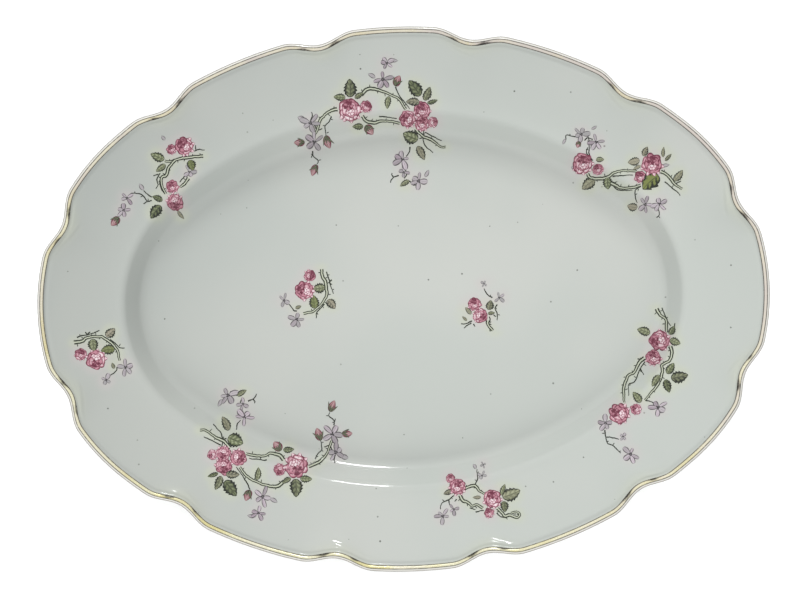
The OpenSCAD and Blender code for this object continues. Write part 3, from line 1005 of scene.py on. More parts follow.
STEM_ENAMEL = Enamel(
    "stem_enamel",
    deep=paint(30, 37, 26),
    middle=paint(100, 106, 84),
    pale=paint(182, 187, 168),
    shift=paint(98, 94, 84),
    fresh=paint(150, 160, 96),
)
LEAF_ENAMEL = Enamel(
    "leaf_enamel",
    deep=paint(28, 34, 25),
    middle=paint(96, 104, 74),
    pale=paint(156, 162, 130),
    shift=paint(150, 144, 128),
    fresh=paint(112, 120, 64),
)
ROSE_ENAMEL = Enamel(
    "rose_enamel",
    deep=paint(98, 36, 56),
    middle=paint(178, 122, 136),
    pale=paint(224, 207, 211),
    shift=paint(156, 122, 122),
    fresh=paint(226, 200, 206),
)
VIOLET_ENAMEL = Enamel(
    "violet_enamel",
    deep=paint(58, 55, 57),
    middle=paint(150, 136, 146),
    pale=paint(194, 183, 191),
    shift=paint(148, 147, 147),
    fresh=paint(190, 180, 192),
)


# ---------------------------------------------------------------- the china, foot and gilding


@dataclass
class ChinaBody:
    """The dish in one piece, from the rolled lip to the flat of the well."""

    form: DishForm
    prints: "list[Spray]"
    well_rings: int = 26
    base_rings: int = 12
    middle_share: float = 0.02
    lip_sweep: tuple[float, float, float] = (150.0, -76.0, -12.5)
    upper_band: float = 0.8
    stain_inset: float = 4.5
    stain_width: float = 4.0
    stain_run: float = 16.0
    stain_strength: float = 0.3
    bead_width: float = 3.2
    bead_drop: float = 0.6
    bead_strength: float = 0.9
    outline_width: float = 0.45
    outline_drop: float = 1.5
    outline_strength: float = 0.95

    def build(self) -> bpy.types.Object:
        """Builds and dresses the china.

        Returns:
            The finished piece.
        """
        section = self.form.section
        rings = self._flat(section.well_edge, section.well_z, self.well_rings)
        for inset, height in section.upper()[::-1]:
            rings.append(self.form.ring(inset, height, relief=True))
        lip_angles = np.radians(np.arange(*self.lip_sweep))
        for inset, height in section.lip(lip_angles, section.lip_r):
            rings.append(self.form.ring(inset, height))
        for inset, height in section.under()[::-1]:
            rings.append(self.form.ring(inset, height))
        rings += self._flat(section.well_edge, section.foot_h, self.base_rings)[::-1]
        columns = len(self.form.angles)
        points = np.concatenate(rings)
        faces = grid_faces(len(rings), columns, closed=True)
        body = make_object("glazed_dish", points, faces.tolist())
        self._close(body, columns, len(points))
        self._stain(body)
        body.data.materials.append(GlazedChina().material())
        return body

    def _flat(self, edge: float, height: float, count: int) -> list[np.ndarray]:
        """Lays rings over a flat oval, from its middle out to just inside its edge.

        Args:
            edge: Inset of the edge of the flat.
            height: Height of the flat.
            count: Number of rings.

        Returns:
            The rings, the smallest first.
        """
        rim = self.form.ring(edge, height)
        shares = np.linspace(self.middle_share, 1.0, count, endpoint=False)
        return [np.column_stack([rim[:, :2] * share, rim[:, 2]]) for share in shares]

    def _close(self, body: bpy.types.Object, columns: int, total: int) -> None:
        """Closes the two small middles of the flats with one face each.

        Args:
            body: The china so far.
            columns: Vertices in a ring.
            total: Number of vertices in all.
        """
        mesh = body.data
        soft = bmesh.new()
        soft.from_mesh(mesh)
        soft.verts.ensure_lookup_table()
        soft.faces.new([soft.verts[k] for k in range(columns)][::-1])
        soft.faces.new([soft.verts[total - columns + k] for k in range(columns)])
        bmesh.ops.recalc_face_normals(soft, faces=soft.faces)
        for face in soft.faces:
            face.smooth = True
        soft.to_mesh(mesh)
        soft.free()

    def _stain(self, body: bpy.types.Object) -> None:
        """Marks where the glaze has taken a tint from the enamels and the gilding.

        Args:
            body: The china.
        """
        count = len(body.data.vertices)
        flat = np.zeros(count * 3, np.float32)
        body.data.vertices.foreach_get("co", flat)
        at = flat.reshape(-1, 3).astype(float) / MM
        upper = at[:, 2] > self.form.glaze_height(at[:, :2]) - self.upper_band
        for layer, kind, strength, spread in (
            ("green_halo", "greens", 0.5, 2.4),
            ("pink_halo", "pinks", 0.4, 2.8),
        ):
            point_attribute(body, layer, self._halo(at, kind, spread) * strength * upper)
        angle, inset = self.form.plan.place(at[:, 0], at[:, 1])
        gap, depth = self.form.cut(angle)
        inside = inset - depth
        drop = self.form.section.lip_z - at[:, 2]
        beside = np.exp(-(((inside - self.stain_inset) / self.stain_width) ** 2))
        near_notch = np.exp(-((gap / self.stain_run) ** 2))
        point_attribute(body, "rim_stain", self.stain_strength * (beside * near_notch) * upper)
        # The top of the lip's bead, within bead_width of the edge, is painted paler all round.
        bead = (inside < self.bead_width) & (drop < self.bead_drop)
        point_attribute(body, "pale_bead_strip", self.bead_strength * bead)
        outermost = (inside < self.outline_width) & (drop < self.outline_drop)
        point_attribute(body, "outer_line", self.outline_strength * outermost)

    def _halo(self, at: np.ndarray, kind: str, spread: float) -> np.ndarray:
        """Works out how much tint one kind of enamel leaves in the glaze round it.

        Args:
            at: Places on the china, in millimetres.
            kind: Which spots of the sprays, as Spray.spots names them.
            spread: Distance at which little of the tint is left.

        Returns:
            The tint at each place, 0 to 1.
        """
        halo = np.zeros(len(at))
        for spray in self.prints:
            for x, y, radius in spray.spots(kind):
                gap = np.maximum(np.hypot(at[:, 0] - x, at[:, 1] - y) - radius, 0.0)
                halo = np.maximum(halo, np.exp(-((gap / spread) ** 2)))
        return halo


@dataclass
class FootRing:
    """Turned ring under the well, glazed on its sides and bare on its land."""

    form: DishForm
    root: float = 6.5
    land: float = 2.5
    bevel: float = 0.5
    inset: float = 2.0
    sunk: float = 0.2
    bare_height: float = 0.35
    bare_fade: float = 0.3

    def build(self) -> bpy.types.Object:
        """Builds and dresses the foot ring.

        Returns:
            The finished piece.
        """
        top = self.form.section.foot_h
        outer = self.form.section.well_edge + self.inset
        draft = (self.root - self.land) / 2.0
        turn = np.linspace(0.0, math.pi / 2.0, 6)
        near = outer + draft
        far = near + self.land
        round_in = np.stack(
            [near + self.bevel * (0.2 - np.cos(turn)), self.bevel * (1.0 - np.sin(turn))], axis=-1
        )
        round_out = np.stack([near + far - round_in[::-1, 0], round_in[::-1, 1]], axis=-1)
        rise = np.linspace(0.0, 1.0, 7)[:-1, None]
        side_in = np.array([outer, top + self.sunk]) * (1.0 - rise) + round_in[0] * rise
        side_out = np.stack([near + far - side_in[::-1, 0], side_in[::-1, 1]], axis=-1)
        loop = np.concatenate([side_in, round_in, round_out, side_out])
        rings = [self.form.ring(inset, height) for inset, height in loop]
        rings.append(rings[0])
        columns = len(self.form.angles)
        count = len(loop)
        faces = grid_faces(count + 1, columns, closed=True) % (count * columns)
        ring = make_object("turned_foot", np.concatenate(rings[:-1]), faces.tolist())
        heights = np.repeat(loop[:, 1], columns)
        point_attribute(ring, "bare", np.clip((self.bare_height - heights) / self.bare_fade, 0.0, 1.0))
        ring.data.materials.append(FootChina().material())
        return ring


@dataclass
class GiltLine:
    """Gold laid by brush over the top and the inside of the lip."""

    form: DishForm
    outer_angle: float = 74.0
    inner_angle: float = 168.0
    thickness: float = 0.1
    edge_sunk: float = 0.04
    heavy_side: float = math.radians(-125.0)
    most: float = 1.25
    loss: float = 1.1
    notch_gold: float = 0.2
    notch_run: float = 12.0
    outer_share: float = 0.2
    inner_share: float = 0.34
    pooled_share: float = 0.5
    pools: tuple[Row, ...] = ((-8.0, 3.2, 1.0), (9.0, 2.6, 0.7))

    def build(self) -> bpy.types.Object:
        """Builds and dresses the gold line.

        Returns:
            The finished piece.
        """
        section = self.form.section
        angles = np.radians(np.linspace(self.outer_angle, self.inner_angle, 17))
        lift = np.full(len(angles), section.lip_r + self.thickness)
        lift[[0, -1]] = section.lip_r - self.edge_sunk
        rings = [self.form.ring(inset, height) for inset, height in section.lip(angles, lift)]
        faces = grid_faces(len(rings), len(self.form.angles), closed=True)
        line = make_object("gold_line", np.concatenate(rings), faces.tolist())
        share = np.linspace(0.0, 1.0, len(angles))[:, None]
        gap, _ = self.form.cut(self.form.angles)
        pooled = sum(part * np.exp(-(((gap - at) / run) ** 2)) for at, run, part in self.pools)
        inner = self.inner_share + self.pooled_share * pooled
        edge = np.exp(-((share / self.outer_share) ** 4)) + np.exp(-(((1.0 - share) / inner) ** 6))
        point_attribute(line, "edge", np.clip(edge, 0.0, 1.0).ravel())
        away = np.abs(np.angle(np.exp(1j * (self.form.angles - self.heavy_side))))
        laid = self.most - self.loss * (away / math.pi)
        laid = laid + self.notch_gold * np.exp(-((gap / self.notch_run) ** 2))
        point_attribute(line, "laid", np.tile(laid, len(angles)))
        line.data.materials.append(Gilding().material())
        return line


# ---------------------------------------------------------------- drawing in enamel


class Sheet:
    """Enamel shapes drawn in plan, then laid together on the glaze as one mesh."""

    SUNK = -0.05
    STROKE = 0.0005

    def __init__(self, order: int) -> None:
        """Starts with nothing drawn, a hair higher for each enamel fired before this one.

        Args:
            order: How many enamels are fired before this one.
        """
        self.base = order * 0.25 * self.STROKE
        self.plan: list[np.ndarray] = []
        self.lift: list[np.ndarray] = []
        self.tone: list[np.ndarray] = []
        self.hue: list[np.ndarray] = []
        self.faces: list[np.ndarray] = []
        self.count = 0

    def grid(
        self, plan: np.ndarray, lift: float, tone: np.ndarray, hue: float, closed: bool = False
    ) -> None:
        """Adds one shape made of a grid of points, its edges sunk into the glaze.

        Args:
            plan: Plan points, rows by columns.
            lift: Height of the enamel over the glaze.
            tone: Tone of the ink at each point.
            hue: How far the ink is shifted to its second colour.
            closed: Whether each row is a ring. The first row is then the middle.
        """
        rows, columns = plan.shape[:2]
        heights = np.full((rows, columns), lift + self.base + self.STROKE * len(self.plan))
        heights[-1] = self.SUNK
        if not closed:
            heights[0] = self.SUNK
            heights[:, [0, -1]] = self.SUNK
        self.plan.append(plan.reshape(-1, 2))
        self.lift.append(heights.ravel())
        self.tone.append(np.broadcast_to(tone, (rows, columns)).ravel())
        self.hue.append(np.full(rows * columns, hue))
        self.faces.append(grid_faces(rows, columns, closed, self.count))
        self.count += rows * columns

    def lay(self, name: str, form: DishForm, move: "Placing", finish: Enamel) -> bpy.types.Object:
        """Lays everything drawn on the glaze of the dish.

        Args:
            name: Name of the piece.
            form: Shape of the dish.
            move: Where the spray lies.
            finish: The enamel.

        Returns:
            The finished piece.
        """
        plan = move.out(np.concatenate(self.plan))
        z = form.glaze_height(plan) + np.concatenate(self.lift)
        piece = make_object(name, np.column_stack([plan, z]), np.concatenate(self.faces).tolist())
        point_attribute(piece, "tone", np.concatenate(self.tone))
        point_attribute(piece, "hue", np.concatenate(self.hue))
        piece.data.materials.append(finish.material())
        return piece


@dataclass(frozen=True)
class Placing:
    """Place and turn of a spray on the dish."""

    x: float
    y: float
    turn: float

    def out(self, plan: np.ndarray) -> np.ndarray:
        """Moves points from the spray's own frame to the dish.

        Args:
            plan: Plan points in the spray's own frame.

        Returns:
            The same points on the dish.
        """
        c = math.cos(math.radians(self.turn))
        s = math.sin(math.radians(self.turn))
        x, y = plan[..., 0], plan[..., 1]
        return np.stack([self.x + (c * x - s * y), self.y + (s * x + c * y)], axis=-1)


def smooth_path(points: Sequence[Point], step: float) -> np.ndarray:
    """Runs a soft curve through given points.

    Args:
        points: The points in order.
        step: Distance between the points of the curve.

    Returns:
        One [x, y] row for each point of the curve.
    """
    given = np.array(points, float)
    padded = np.concatenate([[2.0 * given[0] - given[1]], given, [2.0 * given[-1] - given[-2]]])
    pieces = []
    for k in range(len(given) - 1):
        a, b, c, d = padded[k : k + 4]
        count = max(2, int(np.linalg.norm(c - b) / step))
        t = np.linspace(0.0, 1.0, count, endpoint=False)[:, None]
        square = (2 * a - 5 * b + 4 * c - d) * t**2
        cube = (3 * b - a - 3 * c + d) * t**3
        pieces.append(0.5 * (2.0 * b + (c - a) * t + square + cube))
    return np.concatenate(pieces + [given[-1:]])


@dataclass(frozen=True)
class Bloom:
    """Where one rose is, how large and deep it is, and which way its heart faces."""

    middle: np.ndarray
    r: float
    face: float
    depth: float


class Hand:
    """The painter's hand: every motif, drawn in plan on a sheet with a seeded wobble."""

    LIFT = 0.07
    OVER = 0.003
    BOLD = 1.15

    PETAL_POINTS = 20
    STREAKS = 5.0
    STREAK_TONE = 0.12
    SMALL_VIOLET = 7.5

    LEAF_SWELL = 0.42
    TIP_POWER = 0.9
    BLUNT_TIP_POWER = 0.55
    TOOTH_DEPTH = 0.34
    SIDEWAYS = 0.05
    LIGHT_FROM = 0.8
    LIGHT_TONE = 0.1
    RIBS = 4.0
    RIB_SLANT = 1.2
    RIB_BAND = (0.12, 0.8)
    MID_RIB = 0.06
    MID_RIB_TONE = 0.12
    OUTLINE_BAND = (0.6, 0.12)
    TIP_BAND = (0.44, 0.03)

    BRANCH_WIDTH = 1.9
    TENDRIL_WIDTH = 0.62
    BARK_WIDTH = 0.9
    PATH_STEP = 0.45
    TAPER = 0.35
    KNOTS = 9.0
    KNOT_SWELL = 0.12
    WAVER = 0.075
    WAVER_LIMIT = 0.45
    THORN_STEP = 9
    THORN_WIDTH = 0.5

    def __init__(self, seed: int) -> None:
        """Seeds the wobble."""
        self.random = np.random.default_rng(seed)

    def disc(
        self,
        sheet: Sheet,
        centre: np.ndarray,
        reach: np.ndarray,
        turn: float,
        tones: Sequence[float],
        lift: float,
        hue: float = 0.0,
        ruffle: float = 0.07,
        frills: int = 3,
    ) -> None:
        """Draws an oval petal with a frilled, darker edge.

        Args:
            sheet: The sheet to draw on.
            centre: Middle of the petal.
            reach: Its two half widths, along and across its direction.
            turn: Its direction, in radians.
            tones: Tone in the middle, half way out and at the edge.
            lift: Height over the glaze.
            hue: Shift of the ink.
            ruffle: Depth of the frills as a share of the size.
            frills: Number of frills round the edge.
        """
        shares = np.array([0.02, 0.4, 0.64, 0.78, 0.9, 1.0])
        ink = np.interp(shares, [0.0, 0.6, 0.8], tones)
        theta = np.arange(self.PETAL_POINTS) / self.PETAL_POINTS * TAU
        frill = 1.0 + ruffle * np.cos(frills * theta + self.random.uniform(0.0, TAU))
        along = np.outer(shares, reach[0] * frill * np.cos(theta))
        across = np.outer(shares, reach[1] * frill * np.sin(theta))
        c = math.cos(turn)
        s = math.sin(turn)
        x = centre[0] + c * along - s * across
        y = centre[1] + s * along + c * across
        streak = self.STREAK_TONE * np.cos(self.STREAKS * theta + self.random.uniform(0.0, TAU))
        tone = np.clip(ink[:, None] + streak * shares[:, None], 0.0, 1.0)
        sheet.grid(np.stack([x, y], axis=-1), lift, tone, hue, closed=True)

    def around(self, centre: np.ndarray, reach: float, turn: float) -> np.ndarray:
        """Returns the point at a distance and direction from a centre."""
        return centre + reach * np.array([math.cos(turn), math.sin(turn)])

    def rose(self, sheet: Sheet, x: float, y: float, width: float, heart: float, depth: float) -> None:
        """Draws a cabbage rose: guard petals, a pale bowl and a deep ruffled heart.

        Args:
            sheet: The sheet to draw on.
            x: Middle of the rose.
            y: Middle of the rose.
            width: Its width.
            heart: Direction of the heart from the middle, in degrees.
            depth: How deep its pinks are, 0 to 1.
        """
        bloom = Bloom(np.array([x, y]), width / 2.0, math.radians(heart), depth)
        self._guard_petals(sheet, bloom)
        level = self._open_petals(sheet, bloom, self.LIFT)
        level = self._bowl(sheet, bloom, level)
        self._heart(sheet, bloom, level)

    def _guard_petals(self, sheet: Sheet, bloom: Bloom) -> None:
        """Draws the five pointed petals that lie back from the heart.

        Args:
            sheet: The sheet to draw on.
            bloom: The rose.
        """
        r = bloom.r
        for k in range(5):
            turn = bloom.face + math.pi + 0.62 * (k - 2) + self.random.uniform(-0.12, 0.12)
            root = self.around(bloom.middle, 0.62 * r, turn)
            tones = (0.9 - 0.2 * bloom.depth, 0.5, 0.04)
            direction = math.degrees(turn) + self.random.uniform(-14.0, 14.0)
            at = (*root, 0.56 * r, 0.44 * r, direction)
            self.blade(sheet, at, 0.42, 0, tones, self.LIFT, 0.0, fine=12)

    def _open_petals(self, sheet: Sheet, bloom: Bloom, level: float) -> float:
        """Draws two rounds of open petals, darker toward the heart.

        Args:
            sheet: The sheet to draw on.
            bloom: The rose.
            level: Height of the first petal over the glaze.

        Returns:
            The height that is reached.
        """
        rand = self.random.uniform
        for out, count, size, swing in ((0.6, 7, 0.42, 0.0), (0.4, 5, 0.38, 0.4)):
            for k in range(count):
                turn = bloom.face + swing + TAU * k / count + rand(-0.16, 0.16)
                near = 0.5 + 0.5 * math.cos(turn - bloom.face)
                body = rand(0.55, 1.1) - 0.24 * near - 0.24 * bloom.depth
                dark = rand(0.04, 0.24)
                at = self.around(bloom.middle, out * bloom.r * rand(0.94, 1.06), turn)
                shape = bloom.r * size * np.array([rand(0.85, 1.05), rand(1.1, 1.4)])
                self.disc(sheet, at, shape, turn, (body, body - 0.08, dark), level, ruffle=0.15)
                level += self.OVER
        return level

    def _bowl(self, sheet: Sheet, bloom: Bloom, level: float) -> float:
        """Draws the pale bowl and the folds on its far side.

        Args:
            sheet: The sheet to draw on.
            bloom: The rose.
            level: Height of the bowl over the glaze.

        Returns:
            The height that is reached.
        """
        r = bloom.r
        middle = self.around(bloom.middle, -0.16 * r, bloom.face)
        pale = 1.0 - 0.2 * bloom.depth
        tones = (pale, pale - 0.1, 0.2)
        self.disc(sheet, middle, r * np.array([0.4, 0.47]), bloom.face, tones, level, ruffle=0.05)
        folds = (pale - 0.02, pale - 0.14, 0.14)
        for swing, size in ((-1.05, 0.3), (1.05, 0.3), (-0.35, 0.24), (0.4, 0.22)):
            level += 0.004
            turn = bloom.face + math.pi + swing
            at = self.around(middle, 0.27 * r, turn)
            self.disc(sheet, at, r * np.array([0.17, size]), turn, folds, level, ruffle=0.08)
        return level

    def _heart(self, sheet: Sheet, bloom: Bloom, level: float) -> None:
        """Draws the ruffled heart and its dark eye.

        Args:
            sheet: The sheet to draw on.
            bloom: The rose.
            level: Height reached so far.
        """
        r = bloom.r
        crown = self.around(bloom.middle, 0.34 * r, bloom.face)
        for k in range(7):
            level += self.OVER
            turn = bloom.face + TAU * k / 7.0 + self.random.uniform(-0.2, 0.2)
            at = self.around(crown, 0.27 * r, turn)
            body = 0.5 - 0.24 * bloom.depth if k % 2 else 0.12
            tones = (body, body - 0.05, 0.0)
            self.disc(sheet, at, r * np.array([0.2, 0.16]), turn, tones, level, ruffle=0.18)
        for k in range(3):
            level += self.OVER
            at = self.around(crown, 0.1 * r, bloom.face + 2.1 * k)
            shape = r * np.array([0.12, 0.08])
            self.disc(sheet, at, shape, 2.1 * k, (0.0, 0.0, 0.35), level, frills=4)

    def bud(self, sheet: Sheet, at: Sequence[float]) -> None:
        """Draws a closed bud: a furled body with two folded petals on it.

        Args:
            sheet: The sheet to draw on.
            at: Stalk end x and y, length, width and direction in degrees.
        """
        x, y, length, width, direction = at
        self.blade(sheet, at, 0.42, 0, (0.6, 0.35, 0.0), self.LIFT, 1.0, fine=18)
        turn = math.radians(direction)
        for side, reach, tone in ((-1.0, 0.66, 0.9), (1.0, 0.56, 0.68)):
            offset = side * 0.14 * width
            base = (
                x + 0.22 * length * math.cos(turn) - offset * math.sin(turn),
                y + 0.22 * length * math.sin(turn) + offset * math.cos(turn),
            )
            shape = (*base, reach * length, 0.42 * width, direction - side * 7.0)
            self.blade(sheet, shape, 0.46, 0, (tone, 0.3, 0.06), self.LIFT + 0.03, 0.75, fine=14)

    def calyx(self, sheet: Sheet, at: Sequence[float]) -> None:
        """Draws the sepals that hold a bud.

        Args:
            sheet: The sheet to draw on.
            at: Stalk end x and y, length, width and direction in degrees, as of the bud.
        """
        x, y, length, width, direction = at
        for swing, reach in ((-30.0, 0.8), (29.0, 0.86), (-12.0, 0.62), (11.0, 0.66), (0.0, 0.4)):
            shape = (x, y, reach * length, 0.23 * width, direction + swing)
            self.blade(sheet, shape, 0.4, 0, (0.35, 0.2, 0.02), self.LIFT + 0.05, 0.2, fine=10)

    def blade(
        self,
        sheet: Sheet,
        at: Sequence[float],
        swell: float,
        teeth: int,
        tones: Sequence[float],
        lift: float,
        hue: float,
        fine: int = 30,
    ) -> None:
        """Draws a leaf, bud or petal that grows from a stalk end.

        Args:
            sheet: The sheet to draw on.
            at: Stalk end x and y, length, width and direction in degrees.
            swell: Where along it the shape is widest, 0 to 1.
            teeth: Teeth along each edge.
            tones: Tone of the body, of the veins and of the outline.
            lift: Height over the glaze.
            hue: Shift of the ink.
            fine: Points along its length.
        """
        x, y, length, width, direction = at
        u = np.linspace(0.0, 1.0, fine)
        half = width * self._half_width(u, swell, teeth)
        across = np.array([-1.0, -0.95, -0.82, -0.68, -0.45, -0.2, -0.09, 0.0])
        across = np.concatenate([across, -across[-2::-1]])
        bend = self.SIDEWAYS * length * self.random.uniform(-1.0, 1.0) * np.sin(math.pi * u)
        turn = math.radians(direction)
        along = np.array([math.cos(turn), math.sin(turn)])
        side = np.array([-math.sin(turn), math.cos(turn)])
        offset = half[:, None] * across + bend[:, None]
        plan = np.array([x, y]) + u[:, None, None] * length * along + offset[..., None] * side
        shade = self.LIGHT_TONE * np.sign(across) * math.cos(turn - self.LIGHT_FROM)
        sheet.grid(plan, lift, self._blade_ink(u, across, shade, bool(teeth), tones), hue)

    def _half_width(self, u: np.ndarray, swell: float, teeth: int) -> np.ndarray:
        """Works out the outline of a blade.

        Args:
            u: Places along the blade, 0 at the stalk and 1 at the tip.
            swell: Where the blade is widest, 0 to 1.
            teeth: Teeth along each edge.

        Returns:
            The half width at each place, for a blade of width 1.
        """
        tip_power = self.TIP_POWER if swell < 0.5 else self.BLUNT_TIP_POWER
        root_power = tip_power * swell / (1.0 - swell)
        crest = swell**root_power * (1.0 - swell) ** tip_power
        half = 0.5 * u**root_power * (1.0 - u) ** tip_power / crest
        if teeth:
            saw = np.mod(u * teeth, 1.0)
            half = half * (1.0 + self.TOOTH_DEPTH * (0.5 - saw) * np.sin(math.pi * u) ** 0.4)
        return half

    def _blade_ink(
        self, u: np.ndarray, across: np.ndarray, shade: np.ndarray, veined: bool, tones: Sequence[float]
    ) -> np.ndarray:
        """Works out the ink over a blade: its body, ribs and outline.

        Args:
            u: Places along the blade, 0 at the stalk and 1 at the tip.
            across: Places across it, -1 to 1.
            shade: What each place across is lighter by.
            veined: Whether ribs run out from the mid rib, as on a leaf.
            tones: Tone of the body, of the veins and of the outline.

        Returns:
            The tone at each place, a row for each place along.
        """
        body, vein, line = tones
        reach = np.abs(across)
        ink = np.tile(body + shade, (len(u), 1))
        if veined:
            ribs = np.clip(np.cos(TAU * (u[:, None] * self.RIBS - reach * self.RIB_SLANT)), -0.6, 1.0)
            inner, outer = self.RIB_BAND
            ink = ink + (vein - body) * ribs * (inner < reach) * (reach < outer)
        ink = np.where(reach < self.MID_RIB, self.MID_RIB_TONE if veined else vein, ink)
        start, fade = self.OUTLINE_BAND
        edge = np.clip((reach - start) / fade, 0.0, 1.0)
        ink = ink * (1.0 - edge) + line * edge
        start, fade = self.TIP_BAND
        tip = np.clip((np.abs(u - 0.5) - start) / fade, 0.0, 1.0)[:, None]
        return np.clip(ink * (1.0 - tip) + line * tip, 0.0, 1.0)

    def violet(self, sheet: Sheet, x: float, y: float, width: float, turn: float, hue: float) -> None:
        """Draws an open violet: five narrow petals round a dark eye.

        Args:
            sheet: The sheet to draw on.
            x: Middle of the flower.
            y: Middle of the flower.
            width: Its width.
            turn: Direction of the first petal, in degrees.
            hue: Shift of the ink toward grey.
        """
        petals = 5 if width > self.SMALL_VIOLET else 4
        level = self.LIFT
        for k in range(petals):
            direction = turn + 360.0 * k / petals + self.random.uniform(-22.0, 22.0)
            length = 0.5 * width * self.random.uniform(0.72, 1.22)
            spread = width * self.random.uniform(0.17, 0.36)
            body = self.random.uniform(0.45, 1.0)
            grey = min(1.0, hue + self.random.uniform(0.0, 0.5))
            at = (x, y, length, spread, direction)
            self.blade(sheet, at, 0.6, 0, (body, 0.22, 0.1), level, grey, fine=18)
            level += 0.004
        for k in range(3):
            eye = self.around(np.array([x, y]), 0.06 * width, math.radians(turn) + 2.1 * k)
            shape = width * np.array([0.07, 0.045])
            self.disc(sheet, eye, shape, 2.1 * k, (0.0, 0.0, 0.1), level + 0.01, hue)

    def twig(self, sheet: Sheet, path: Sequence[Point], width: float, hue: float, thorns: bool) -> None:
        """Draws a stem: two dark lines with pale bark between, or one line if it is thin.

        Args:
            sheet: The sheet to draw on.
            path: Points along the stem.
            width: Its width at the near end.
            hue: Shift of the ink.
            thorns: Whether thorns stand along it.
        """
        line = smooth_path(path, self.PATH_STEP)
        count = len(line)
        u = np.linspace(0.0, 1.0, count)
        tangent = np.gradient(line, axis=0)
        tangent /= np.linalg.norm(tangent, axis=1)[:, None]
        side = np.stack([-tangent[:, 1], tangent[:, 0]], axis=-1)
        wave = np.cumsum(self.random.normal(0.0, self.WAVER, count))
        wave = wave - np.linspace(wave[0], wave[-1], count)
        line = line + side * np.clip(wave, -self.WAVER_LIMIT, self.WAVER_LIMIT)[:, None]
        swell = 1.0 + self.KNOT_SWELL * np.sin(self.KNOTS * u + self.random.uniform(0.0, 6.0))
        breadth = self.BOLD * width * (1.0 - self.TAPER * u) * swell
        across = np.array([-1.0, -0.94, -0.38, -0.24, 0.0, 0.24, 0.38, 0.94, 1.0])
        plan = line[:, None] + (breadth[:, None] / 2.0 * across)[..., None] * side[:, None]
        dark = 0.04 + 0.08 * self.random.random()
        ink = np.full((count, len(across)), dark)
        if width > self.BARK_WIDTH:
            bark = np.interp(np.abs(across), [0.0, 0.24, 0.36, 1.0], [0.97, 0.93, 0.0, 0.0])
            drift = 0.5 + 0.5 * np.sin(0.9 * np.arange(count)[:, None] + 2.0 * np.sign(across))
            ink = np.clip(ink + bark + 0.25 * drift * (bark == 0.0) * (np.abs(across) > 0.9), 0.0, 1.0)
        sheet.grid(plan, self.LIFT, ink, hue)
        if thorns:
            for k in range(4, count - 3, self.THORN_STEP):
                hand = 1.0 if self.random.random() > 0.5 else -1.0
                base = line[k] + 0.4 * hand * breadth[k] * side[k]
                lean = tangent[k] * self.random.uniform(-0.5, 0.9) + hand * side[k]
                direction = math.degrees(math.atan2(lean[1], lean[0]))
                reach = self.random.uniform(0.8, 2.0)
                at = (*base, reach, self.THORN_WIDTH, direction)
                self.blade(sheet, at, 0.3, 0, (dark, dark, dark), self.LIFT, hue, fine=5)


# ---------------------------------------------------------------- the prints


@dataclass(frozen=True)
class Print:
    """One pattern of the decorator's set, in millimetres about its middle.

    Branches and tendrils are lists of points. A leaf, bud or ghost is the stalk end, the
    length, the width, the direction and, on a leaf, the shift of its green. A rose is its
    middle, its width, the direction of its heart and how deep it is. A violet is its
    middle, its width, its turn and how grey it is.
    """

    branches: tuple[Path, ...]
    tendrils: tuple[Path, ...]
    leaves: tuple[Row, ...]
    roses: tuple[Row, ...]
    violets: tuple[Row, ...]
    buds: tuple[Row, ...] = ()
    ghosts: tuple[Row, ...] = ()


